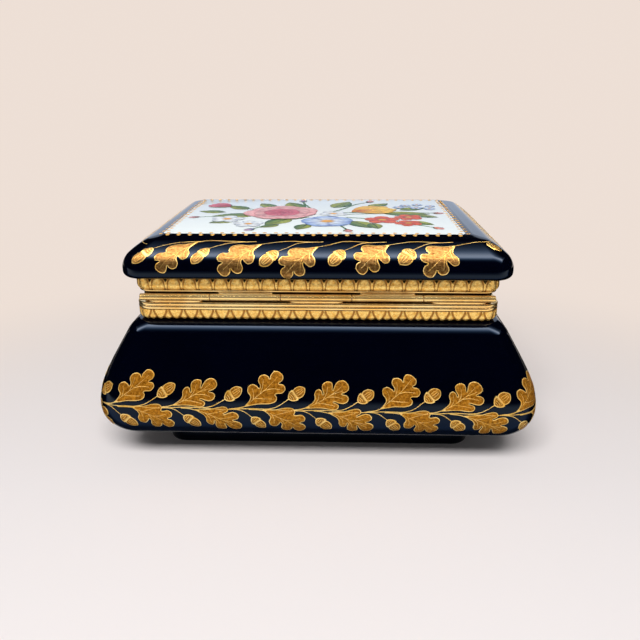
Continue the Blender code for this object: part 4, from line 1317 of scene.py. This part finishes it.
strip = {
    "leaves": 78, "columns": 24, "rows": 20, "depth": 0.4, "valley": 0.4, "floor": 0.22, "back": 1.3,
    "round": 1.2, "roundFrom": 262, "roundSteps": 10, "leastCorner": 0.3,
    "hair": 1e-4,  # keeps the tip of a leaf from having no width
    "veins": 3.0, "veinSlant": 0.9, "veinDepth": 0.15, "veinWidth": 0.17, "veinFrom": 0.12,
    "middleWidth": 0.09,
    "lid": {"bottom": 59.9, "top": 64.15, "notch": 0.32, "gapAt": 0.5, "gapWidth": 0.13},
    "base": {"bottom": 49.8, "top": 53.0, "notch": 0.2, "gapAt": 0.25, "gapWidth": 0.11},
    # crown and fall are the height along a leaf's middle and what it loses at the edge; veins stop at
    # veinEdge across and veinTip along; a dart stands between two leaves
    "tongue": {
        "half": 0.42, "swell": 3, "square": 6, "crown": 0.9, "fall": 0.25, "veinEdge": 0.64, "veinTip": 0.8,
        "line": 0.74, "lineWidth": 0.07, "lineDepth": 0.16, "lineEnd": 0.94,
        "dart": 0.03, "dartGrowth": 0.065, "dartCrown": 0.9,
    },
    "shield": {
        "half": 0.36, "swell": 1.7, "point": 0.8, "square": 5, "crown": 0.95, "fall": 0.2,
        "veinEdge": 0.8, "veinTip": 0.7, "dart": 0.02, "dartGrowth": 0.3, "dartCrown": 0.85,
        "dartFrom": 0.1, "dartTo": 1.04, "dartFade": 0.3,
    },
}


def veins(s, w, leaf):
    # a middle vein and slanting side veins pressed into each leaf
    slant = (strip["veins"] * w - strip["veinSlant"] * s) % 1
    side = np.exp(-((slant - 0.5) / strip["veinWidth"]) ** 2) * (s > strip["veinFrom"])
    middle = np.exp(-(s / strip["middleWidth"]) ** 2)
    return strip["veinDepth"] * np.maximum(side, middle) * (s < leaf["veinEdge"]) * (w < leaf["veinTip"])


def swollen(s, leaf):
    return (1 - s ** leaf["square"]) ** 0.5 * (leaf["crown"] - leaf["fall"] * s ** 2)


def withDart(height, x, narrow, leaf):
    q = np.clip((0.5 - np.abs(x)) / narrow, 0, 1)
    return np.maximum(height, leaf["dartCrown"] * np.sqrt(1 - q ** 2))


def tongueRelief(x, w):
    # round-topped tongues with a thin dart between; x is the place within one repeat,
    # w runs from root to tip
    leaf = strip["tongue"]
    broad = leaf["half"] * np.sqrt(np.clip(1 - w ** leaf["swell"], 0, 1)) + strip["hair"]
    s = np.clip(np.abs(x) / broad, 0, 1)
    line = np.exp(-((s - leaf["line"]) / leaf["lineWidth"]) ** 2) * (w < leaf["lineEnd"])
    height = swollen(s, leaf) - leaf["lineDepth"] * line - veins(s, w, leaf)
    return withDart(height, x, leaf["dart"] + leaf["dartGrowth"] * w, leaf)


def shieldRelief(x, w):
    # pointed shields with a widening dart between
    leaf = strip["shield"]
    broad = leaf["half"] * np.clip(1 - w ** leaf["swell"], 0, 1) ** leaf["point"] + strip["hair"]
    s = np.clip(np.abs(x) / broad, 0, 1)
    grown = np.clip(w - leaf["dartFrom"], 0, 1) * np.clip((leaf["dartTo"] - w) / leaf["dartFade"], 0, 1)
    narrow = leaf["dart"] + leaf["dartGrowth"] * grown
    return withDart(swollen(s, leaf) - veins(s, w, leaf), x, narrow, leaf)


def leafStrip(name, body, node, shape, relief, tipsUp):
    # profile of the plain strip from its rounded lower edge up
    r, face = strip["round"], mounts["inset"] + strip["valley"]
    low, high = shape["bottom"], shape["top"]
    arc = ellipseArc((face + r, low + r), r, r, strip["roundFrom"], 180, strip["roundSteps"])
    plain = np.concatenate((arc, [(face, high)]))
    t = np.concatenate(([0], np.cumsum(np.linalg.norm(np.diff(plain, axis=0), axis=1))))
    count = strip["leaves"] * strip["columns"]
    u = np.arange(count) / strip["columns"]
    x = u - np.round(u)
    reach = 1 - shape["notch"] * np.exp(-((np.abs(x) - shape["gapAt"]) / shape["gapWidth"]) ** 2)
    loops, reliefs = [], []
    stops = mountRing["length"] * u / strip["leaves"]
    angle, centreX, centreY = (
        np.interp(stops, mountRing["stops"], mountRing[key]) for key in ("angle", "centreX", "centreY")
    )

    def ringAt(inset, height):
        corner = np.maximum(mountCorner(inset), strip["leastCorner"])
        return np.stack((
            centreX * (plan["width"] / 2 - mounts["inset"] - mounts["corner"]) + corner * np.cos(angle),
            centreY * (plan["depth"] / 2 - mounts["inset"] - mounts["corner"]) + corner * np.sin(angle),
            height * np.ones(count),
        ), 1)

    for row in range(strip["rows"] + 1):
        w = row / strip["rows"]
        share = w * reach if tipsUp else 1 - w * reach
        height = np.clip(relief(x, w * np.ones(count)), strip["floor"], 1)
        where = share * t[-1]
        inset, level = np.interp(where, t, plain[:, 0]), np.interp(where, t, plain[:, 1])
        out = np.interp(where, t, np.gradient(plain[:, 1], t))
        up = np.interp(where, t, np.gradient(plain[:, 0], t))
        lift = strip["depth"] * height
        loops.append(ringAt(inset - lift * out, level + lift * up))
        reliefs.append(height)
        if row in (0, strip["rows"]):
            back = ringAt(inset + strip["back"], level)
            spot = 0 if row == 0 else len(loops)
            loops.insert(spot, back)
            reliefs.insert(spot, np.zeros(count))
    faces = [quad if tipsUp else quad[::-1] for quad in ringQuads(len(loops), count)]
    piece = addPiece(
        name, body, np.concatenate(loops), faces, [stampedBrass],
        sharp=60.0, closed=False, values={"relief": np.concatenate(reliefs)},
    )
    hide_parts(node)
    return piece


mountRing = decorSurface(
    [(mounts["inset"], height, mounts["corner"]) for height in (0, 1)], 0, mounts["inset"], mounts["corner"]
)
lidStrip = leafStrip("lidGallery", "lid", "lid_gallery", strip["lid"], tongueRelief, True)
leafStrip("baseGallery", "base", "base_gallery", strip["base"], shieldRelief, False)
print("leaf strips:", len(lidStrip.data.polygons), "faces each")


# Hinge knuckles and bearers

hinge = {
    "axisY": 42.9, "axisZ": 57.35, "pitch": 23.5, "endGap": 0.2, "radius": 1.15, "bore": 0.7,
    "chamfer": 0.12, "sides": 32,
    "bearerWidth": 18.0, "bearerFront": 41.6, "bearerBack": 43.6, "bearerNeck": 42.5, "bearerEdge": 0.14,
    "baseLow": 55.7, "baseHigh": 57.0, "clear": 0.15, "taper": 2.6, "hollowPoints": 12,
    # share of the taper's length, and of the full reach there
    "taperRun": ((0.0, 0.0), (0.3, 0.62), (1.0, 1.0)),
    # body, place and step along the barrel of each knuckle
    "places": (
        ("base", "left", -2), ("lid", "left", -1), ("base", "middle", 0), ("lid", "right", 1),
        ("base", "right", 2),
    ),
}


def latheShape(profile, sides, closed):
    # profile of radius and place along the axis, turned round the axis
    profile = np.asarray(profile, float)
    angles = np.arange(sides) * 2 * math.pi / sides
    points = np.stack((
        profile[:, None, 0] * np.cos(angles), profile[:, None, 0] * np.sin(angles),
        profile[:, None, 1] * np.ones(sides),
    ), -1).reshape(-1, 3)
    faces = ringQuads(len(profile), sides, closed)
    if not closed:
        faces += endCaps(len(profile), sides)
    return points, faces


def knuckle(body, place, step):
    half, c = (hinge["pitch"] - hinge["endGap"]) / 2, hinge["chamfer"]
    r, bore = hinge["radius"], hinge["bore"]
    profile = [(bore, -half), (r - c, -half), (r, -half + c), (r, half - c), (r - c, half), (bore, half)]
    points, faces = latheShape(profile, hinge["sides"], closed=True)
    centre = (step * hinge["pitch"], hinge["axisY"], hinge["axisZ"])
    points = np.stack((points[:, 2], points[:, 0], points[:, 1]), 1) + centre
    name = "hingeTube" + body.title() + place.title()
    piece = addPiece(name, body, points, faces, [hingeBrass])
    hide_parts("hinge_tube_" + body + "_" + place)


def bearer(body, place, step):
    # a plate under the barrel, hollowed to its round and drawn in at both ends
    low, front, gap = hinge["baseLow"], hinge["bearerFront"], hinge["radius"] + hinge["clear"]
    half, taper, edge = hinge["bearerWidth"] / 2, hinge["taper"], hinge["bearerEdge"]
    axisY, axisZ = hinge["axisY"], hinge["axisZ"]
    soft = roundMiddle * edge
    stations = [(-half + run * taper, share) for run, share in hinge["taperRun"]]
    stations += [(-x, share) for x, share in reversed(stations)]
    sections = []
    for x, share in stations:
        back = hinge["bearerNeck"] + share * (hinge["bearerBack"] - hinge["bearerNeck"])
        first = math.asin((back - axisY) / gap)
        last = -math.acos((axisZ - hinge["baseHigh"]) / gap)
        angles = np.linspace(first, last, hinge["hollowPoints"])
        section = [(front, low), (back - edge, low), (back - soft, low + soft), (back, low + edge)]
        section += [(axisY + gap * math.sin(a), axisZ - gap * math.cos(a)) for a in angles]
        section.append((front, hinge["baseHigh"]))
        sections.append([(x + step * hinge["pitch"], y, z) for y, z in section])
    points = np.array(sections).reshape(-1, 3)
    if body == "lid":
        points[:, 2] = 2 * axisZ - points[:, 2]
    count = len(sections[0])
    faces = ringQuads(len(sections), count) + endCaps(len(sections), count)
    name = "hingeBearer" + body.title() + place.title()
    piece = addPiece(name, body, points, faces, [hingeBrass], sharp=30.0)
    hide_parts("hinge_bearer_" + body + "_" + place)


for shape in (knuckle, bearer):
    for body, place, step in hinge["places"]:
        shape(body, place, step)
print("hinge ready")


# Clasp on the front: a fluted tongue, its two rivets and the stud that it snaps over

clasp = {
    "midline": [
        (-44.2, 63.95), (-44.2, 62.9), (-44.2, 61.6), (-44.75, 60.75), (-45.3, 59.9), (-45.3, 56.5),
        (-45.3, 53.2), (-45.4, 51.3), (-45.9, 50.5), (-46.55, 50.1),
    ],
    "widths": [4.9, 5.0, 4.95, 4.7, 4.45, 3.9, 3.35, 3.0, 2.5, 1.6], "steps": 5,
    "thickness": 0.86, "square": 6, "flutes": 7, "fluteDepth": 0.12, "across": 28, "plainEdge": 0.98,
    "fluteFrom": 0.42, "fluteFade": 0.15, "fluteTo": 0.97, "fluteEnd": 0.1,  # shares of the length
    "rivetX": 2.5, "rivetY": -44.8, "rivetZ": 62.7,
    "rivetRadius": 0.9, "rivetRise": 0.5, "rivetLength": 4.15,
    "studY": -43.75, "studZ": 51.4, "studRadius": 1.1, "studRise": 0.8, "studLength": 3.1,
    # a head as shares of its radius and rise: the rim with its groove, then the dome
    "shank": 0.5, "sides": 28, "headRim": ((0.96, 0.0), (1.0, 0.08), (1.0, 0.2), (0.94, 0.28)),
    "dome": 0.86, "domeFoot": 0.12, "domeTurn": (12, 86, 9),
}


def claspTongue():
    line = smoothLine(clasp["midline"], clasp["steps"])
    widths = smoothLine([(width, 0) for width in clasp["widths"]], clasp["steps"])[:, 0]
    along = np.gradient(line, axis=0)
    along /= np.linalg.norm(along, axis=1)[:, None]
    out = np.stack((along[:, 1], -along[:, 0]), 1)  # towards the front
    s = np.sin(np.linspace(-0.5, 0.5, clasp["across"] + 1) * math.pi)
    half = clasp["thickness"] / 2 * (1 - np.abs(s) ** clasp["square"]) ** 0.5
    share = np.linspace(0, 1, len(line))
    fluted = np.clip((share - clasp["fluteFrom"]) / clasp["fluteFade"], 0, 1)
    fluted *= np.clip((clasp["fluteTo"] - share) / clasp["fluteEnd"], 0, 1)
    flutes = clasp["fluteDepth"] * (0.5 - 0.5 * np.cos(clasp["flutes"] * math.pi * (s + 1)))
    flutes *= np.abs(s) < clasp["plainEdge"]
    loops = []
    for spot, way, width, depth in zip(line, out, widths, fluted):
        front = half - depth * flutes
        rows = [(s, front), (s[-2:0:-1], -half[-2:0:-1])]
        loops.append(np.concatenate([
            np.stack((width * x, spot[0] + way[0] * lift, spot[1] + way[1] * lift), 1) for x, lift in rows
        ]))
    count = len(loops[0])
    faces = ringQuads(len(loops), count) + endCaps(len(loops), count)
    piece = addPiece(
        "claspTongue", "lid", np.concatenate(loops), faces, [drawnBrass], sharp=45.0
    )
    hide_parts("clasp_tongue")


def domedHead(name, body, node, place, radius, rise, length):
    # a domed head with a turned groove, on a shank
    foot = clasp["domeFoot"]
    profile = [(clasp["shank"], -length), (clasp["shank"], 0)]
    profile += [(out * radius, up * rise) for out, up in clasp["headRim"]]
    for a in np.radians(np.linspace(*clasp["domeTurn"])):
        profile.append((clasp["dome"] * radius * math.cos(a), (foot + (1 - foot) * math.sin(a)) * rise))
    points, faces = latheShape(profile, clasp["sides"], closed=False)
    points = np.stack((points[:, 0], -points[:, 2], points[:, 1]), 1) + place
    piece = addPiece(name, body, points, faces, [drawnBrass])
    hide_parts(node)


claspTongue()
rivet, stud = ([clasp[kind + key] for key in ("Radius", "Rise", "Length")] for kind in ("rivet", "stud"))
for side, way in (("left", -1), ("right", 1)):
    place = (way * clasp["rivetX"], clasp["rivetY"], clasp["rivetZ"])
    domedHead("claspRivet" + side.title(), "lid", "clasp_rivet_" + side, place, *rivet)
domedHead("claspStud", "base", "clasp_stud", (0.0, clasp["studY"], clasp["studZ"]), *stud)
print("clasp ready")

# Nodes kept from the model
for node, finish in (("hinge_pin", pinSteel), ("base_bedding", plasterBed), ("lid_bedding", plasterBed)):
    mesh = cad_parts[node].data
    mesh.materials.clear()
    mesh.materials.append(finish)


# Floor, backdrop, light and camera

# lengths in metres here
studio = {
    "floorRadius": 3.0, "floorSides": 96, "floorColour": (0.84, 0.79, 0.785),
    "floorRough": 0.9, "floorSpecular": 0.1,
    # mirrored is the backdrop as reflections see it, painted bluer than the backdrop itself
    "backdrop": (0.85, 0.74, 0.67), "mirrored": (0.65, 0.755, 0.95),  # to the camera, and in reflections
    "blendCentre": (0.0, 0.1, 0.0), "blendFrom": 0.11, "blendTo": 0.3,
    "fill": 0.13, "fillColour": (1.0, 0.99, 0.98), "aim": (0.0, 0.0, 0.05),
    "mainPlace": (0.06, 0.72, 0.87), "mainSize": (0.85, 0.31), "mainPower": 14.0,
    "lowPlace": (0.0, 1.05, 0.24), "lowSize": (2.0, 0.36), "lowPower": 1.2,
    "cardReach": 1.0, "cardHalf": 1.0, "cardSteps": 72, "matHeight": 0.0004,
    "wingBack": -1.7, "wingHeight": 0.9, "sideReach": 0.085, "sideBack": -0.3,
    "cardDark": (0.004, 0.006, 0.010), "cardBright": (1.15, 1.0, 0.95), "cardFaint": (0.62, 0.82, 1.1),
    "fullGlow": 9.0,
    # glow at an angle up the card, and colour at a reach along the mat
    "cardBand": (
        (3, 0), (50, 0), (56, 0.2), (63, 1.1), (70, 4.5), (75, 9.0), (79, 12.0), (84, 12.0), (87.5, 6.8),
        (91, 3.2), (94.5, 1.7), (98, 0.85), (102, 0.4), (107, 0.15), (113, 0), (146, 0),
    ),
    # the mat's colours paint the floor as reflections see it: black under the box for its shadow, bluish
    # close by on the camera's side, brightest some 10 to 20 cm out, fading to black far off
    "matRows": (
        (0.0445, (0, 0, 0)), (0.056, (0.03, 0.05, 0.1)), (0.062, (0.25, 0.38, 0.65)),
        (0.074, (0.6, 0.7, 0.95)), (0.085, (0.8, 0.85, 0.95)), (0.115, (1.15, 1.08, 1.02)),
        (0.19, (1.3, 1.2, 1.12)), (0.24, (0.8, 0.76, 0.75)), (0.32, (0.4, 0.39, 0.4)),
        (0.5, (0.15, 0.15, 0.16)), (1.0, (0, 0, 0)),
    ),
}
bpy.context.scene.view_settings.view_transform = "Standard"


def seenMask(tree, x, y):
    # 1 for camera, glossy and transmission rays, 0 for the rest
    path = addNode(tree, "ShaderNodeLightPath", x, y)
    first = addNode(tree, "ShaderNodeMath", x + 200, y, operation="MAXIMUM")
    second = addNode(tree, "ShaderNodeMath", x + 400, y, operation="MAXIMUM")
    tree.links.new(path.outputs["Is Camera Ray"], first.inputs[0])
    tree.links.new(path.outputs["Is Glossy Ray"], first.inputs[1])
    tree.links.new(first.outputs[0], second.inputs[0])
    tree.links.new(path.outputs["Is Transmission Ray"], second.inputs[1])
    return second.outputs[0]


def stagePiece(name, points, faces, finish):
    mesh = bpy.data.meshes.new(name)
    mesh.from_pydata(points, [], faces)
    mesh.materials.append(finish)
    mesh.shade_smooth()
    piece = bpy.data.objects.new(name, mesh)
    bpy.context.scene.collection.objects.link(piece)
    return piece


def floorPaper():
    # paper that runs out into the colour of the backdrop
    finish = bpy.data.materials.new("floorPaper")
    finish.use_nodes = True
    tree = finish.node_tree
    paper = tree.nodes["Principled BSDF"]
    setInputs(paper, **{
        "Base Color": (*studio["floorColour"], 1.0), "Roughness": studio["floorRough"],
        "Specular IOR Level": studio["floorSpecular"],
    })
    spot = addNode(tree, "ShaderNodeTexCoord", -900, -200)
    far = addNode(tree, "ShaderNodeVectorMath", -700, -200, operation="DISTANCE")
    far.inputs[1].default_value = studio["blendCentre"]
    mask = addNode(tree, "ShaderNodeMapRange", -500, -200, interpolation_type="SMOOTHSTEP")
    setInputs(mask, **{"From Min": studio["blendFrom"], "From Max": studio["blendTo"]})
    glow = addNode(tree, "ShaderNodeEmission", 0, -250)
    setInputs(glow, Color=(*studio["backdrop"], 1.0), Strength=1.0)
    both = addNode(tree, "ShaderNodeMath", -200, -100, operation="MULTIPLY")
    mix = addNode(tree, "ShaderNodeMixShader", 300, 0)
    tree.links.new(spot.outputs["Object"], far.inputs[0])
    tree.links.new(far.outputs["Value"], mask.inputs["Value"])
    tree.links.new(mask.outputs["Result"], both.inputs[0])
    tree.links.new(seenMask(tree, -900, 300), both.inputs[1])
    tree.links.new(both.outputs[0], mix.inputs[0])
    tree.links.new(paper.outputs[0], mix.inputs[1])
    tree.links.new(glow.outputs[0], mix.inputs[2])
    tree.links.new(mix.outputs[0], tree.nodes["Material Output"].inputs["Surface"])
    return finish


def cardFinish():
    # glows by the colour on each point of the mesh
    finish = bpy.data.materials.new("reflectionCard")
    finish.use_nodes = True
    tree = finish.node_tree
    tree.nodes.remove(tree.nodes["Principled BSDF"])
    colour = addNode(tree, "ShaderNodeAttribute", -300, 0, attribute_name="glow")
    glow = addNode(tree, "ShaderNodeEmission", 0, 0)
    tree.links.new(colour.outputs["Color"], glow.inputs["Color"])
    tree.links.new(glow.outputs[0], tree.nodes["Material Output"].inputs["Surface"])
    return finish


around = np.arange(studio["floorSides"]) * 2 * math.pi / studio["floorSides"]
floorRim = studio["floorRadius"] * np.stack((np.cos(around), np.sin(around), 0 * around), 1)
stagePiece("floor", floorRim.tolist(), [range(studio["floorSides"])], floorPaper())

# a card that paints what reflections see: dark, with one soft light band in place of a lamp, laid out
# on the camera's side of the box and bent over it, with a wing at each side; only reflections see it
overArc = np.linspace(*(studio["cardBand"][k][0] for k in (0, -1)), studio["cardSteps"])
band = np.interp(overArc, *zip(*studio["cardBand"]))
overArc = np.radians(overArc)
cardEdge = np.concatenate((
    [(0, reach, studio["matHeight"]) for reach, glow in studio["matRows"]],
    studio["cardReach"] * np.stack((0 * overArc, np.cos(overArc), np.sin(overArc)), 1),
))
dark, bright, faint = (np.array(studio[key]) for key in ("cardDark", "cardBright", "cardFaint"))
cardGlow = np.concatenate((
    [dark + glow for reach, glow in studio["matRows"]],
    dark + band[:, None] * (faint + np.minimum(band / studio["fullGlow"], 1)[:, None] * (bright - faint)),
))
rows = len(cardEdge)
cardPoints = np.concatenate([cardEdge + (side * studio["cardHalf"], 0, 0) for side in (-1, 1)])
cardFaces = [(k, k + 1, k + 1 + rows, k + rows) for k in range(rows - 1)]
half, back, height = studio["cardHalf"], studio["wingBack"], studio["wingHeight"]
far, near, low = studio["cardReach"], studio["matRows"][0][0], studio["matHeight"]
# at each side a tall dark wing, and a low dark strip over the floor beside the box, so that reflections
# looking sideways see painted dark there instead of the bright floor
extras = []
for side in (-1, 1):
    end, start = side * half, side * studio["sideReach"]
    extras += [(end, far, 0), (end, back, 0), (end, back, height), (end, far, height)]
    extras += [(start, near, low), (end, near, low)]
    extras += [(end, studio["sideBack"], low), (start, studio["sideBack"], low)]
cardFaces += [range(2 * rows + k, 2 * rows + k + 4) for k in range(0, len(extras), 4)]
card = stagePiece(
    "reflectionCard", np.concatenate((cardPoints, extras)).tolist(), cardFaces, cardFinish()
)
cardGlow = np.concatenate((cardGlow, cardGlow, np.tile(dark, (len(extras), 1))))
cardGlow = np.concatenate((cardGlow, np.ones((len(cardGlow), 1))), 1)
card.data.attributes.new("glow", "FLOAT_COLOR", "POINT").data.foreach_set("color", cardGlow.ravel())
card.visible_camera = False
card.visible_diffuse = False
card.visible_transmission = False
card.visible_shadow = False

world = bpy.data.worlds.new("studio")
bpy.context.scene.world = world
world.use_nodes = True
tree = world.node_tree
tree.nodes.clear()
backdrop, fillLight, mirrorBack = (
    setInputs(addNode(tree, "ShaderNodeBackground", x, y), Color=(*studio[key], 1.0), Strength=strength)
    for key, strength, x, y in (
        ("backdrop", 1.0, 0, 100), ("fillColour", studio["fill"], 0, -100), ("mirrored", 1.0, 200, -200),
    )
)
either = addNode(tree, "ShaderNodeMixShader", 250, 0)
out = addNode(tree, "ShaderNodeOutputWorld", 640, 0)
tree.links.new(seenMask(tree, -700, 200), either.inputs[0])
tree.links.new(fillLight.outputs[0], either.inputs[1])
tree.links.new(backdrop.outputs[0], either.inputs[2])
# glossy rays see the bluer mirrored colour: a painted reflection
path = addNode(tree, "ShaderNodeLightPath", 200, 300)
mirrorMix = addNode(tree, "ShaderNodeMixShader", 420, 0)
tree.links.new(path.outputs["Is Glossy Ray"], mirrorMix.inputs[0])
tree.links.new(either.outputs[0], mirrorMix.inputs[1])
tree.links.new(mirrorBack.outputs[0], mirrorMix.inputs[2])
tree.links.new(mirrorMix.outputs[0], out.inputs["Surface"])


def areaLamp(name, place, size, power):
    lamp = bpy.data.lights.new(name, "AREA")
    lamp.shape = "RECTANGLE"
    lamp.size, lamp.size_y = size
    lamp.energy = power
    holder = bpy.data.objects.new(name, lamp)
    bpy.context.scene.collection.objects.link(holder)
    holder.location = place
    holder.rotation_euler = (Vector(studio["aim"]) - holder.location).to_track_quat("-Z", "Y").to_euler()
    holder.visible_camera = False
    return holder


for lamp in ("main", "low"):
    soft = areaLamp(lamp + "Lamp", *(studio[lamp + key] for key in ("Place", "Size", "Power")))
    soft.visible_glossy = False  # reflections see the card instead

view = {
    "yaw": 2.0, "pitch": 19.85, "roll": 0.22, "place": (8.3, -245.0, 122.6),
    "lens": 36.2, "sensor": 36.0, "nearest": 10.0,
}
yaw, pitch, roll = (math.radians(view[key]) for key in ("yaw", "pitch", "roll"))
right = Vector((math.cos(yaw), math.sin(yaw), 0))
ahead = Vector((-math.sin(yaw) * math.cos(pitch), math.cos(yaw) * math.cos(pitch), -math.sin(pitch)))
level, upright = right, right.cross(ahead)
right = math.cos(roll) * level - math.sin(roll) * upright
above = math.sin(roll) * level + math.cos(roll) * upright
toPart = Matrix.Rotation(math.pi, 3, "Z")  # the photo looks at the back of the box
right, above, ahead = (toPart @ way for way in (right, above, ahead))
place = toPart @ Vector(view["place"]) * mm
camera = bpy.data.objects.new("camera", bpy.data.cameras.new("camera"))
camera.data.lens = view["lens"]
camera.data.sensor_width = view["sensor"]
camera.data.clip_start = view["nearest"] * mm
camera.matrix_world = Matrix((
    (right.x, above.x, -ahead.x, place.x),
    (right.y, above.y, -ahead.y, place.y),
    (right.z, above.z, -ahead.z, place.z),
    (0, 0, 0, 1),
))
bpy.context.scene.collection.objects.link(camera)
bpy.context.scene.camera = camera
print("studio ready")
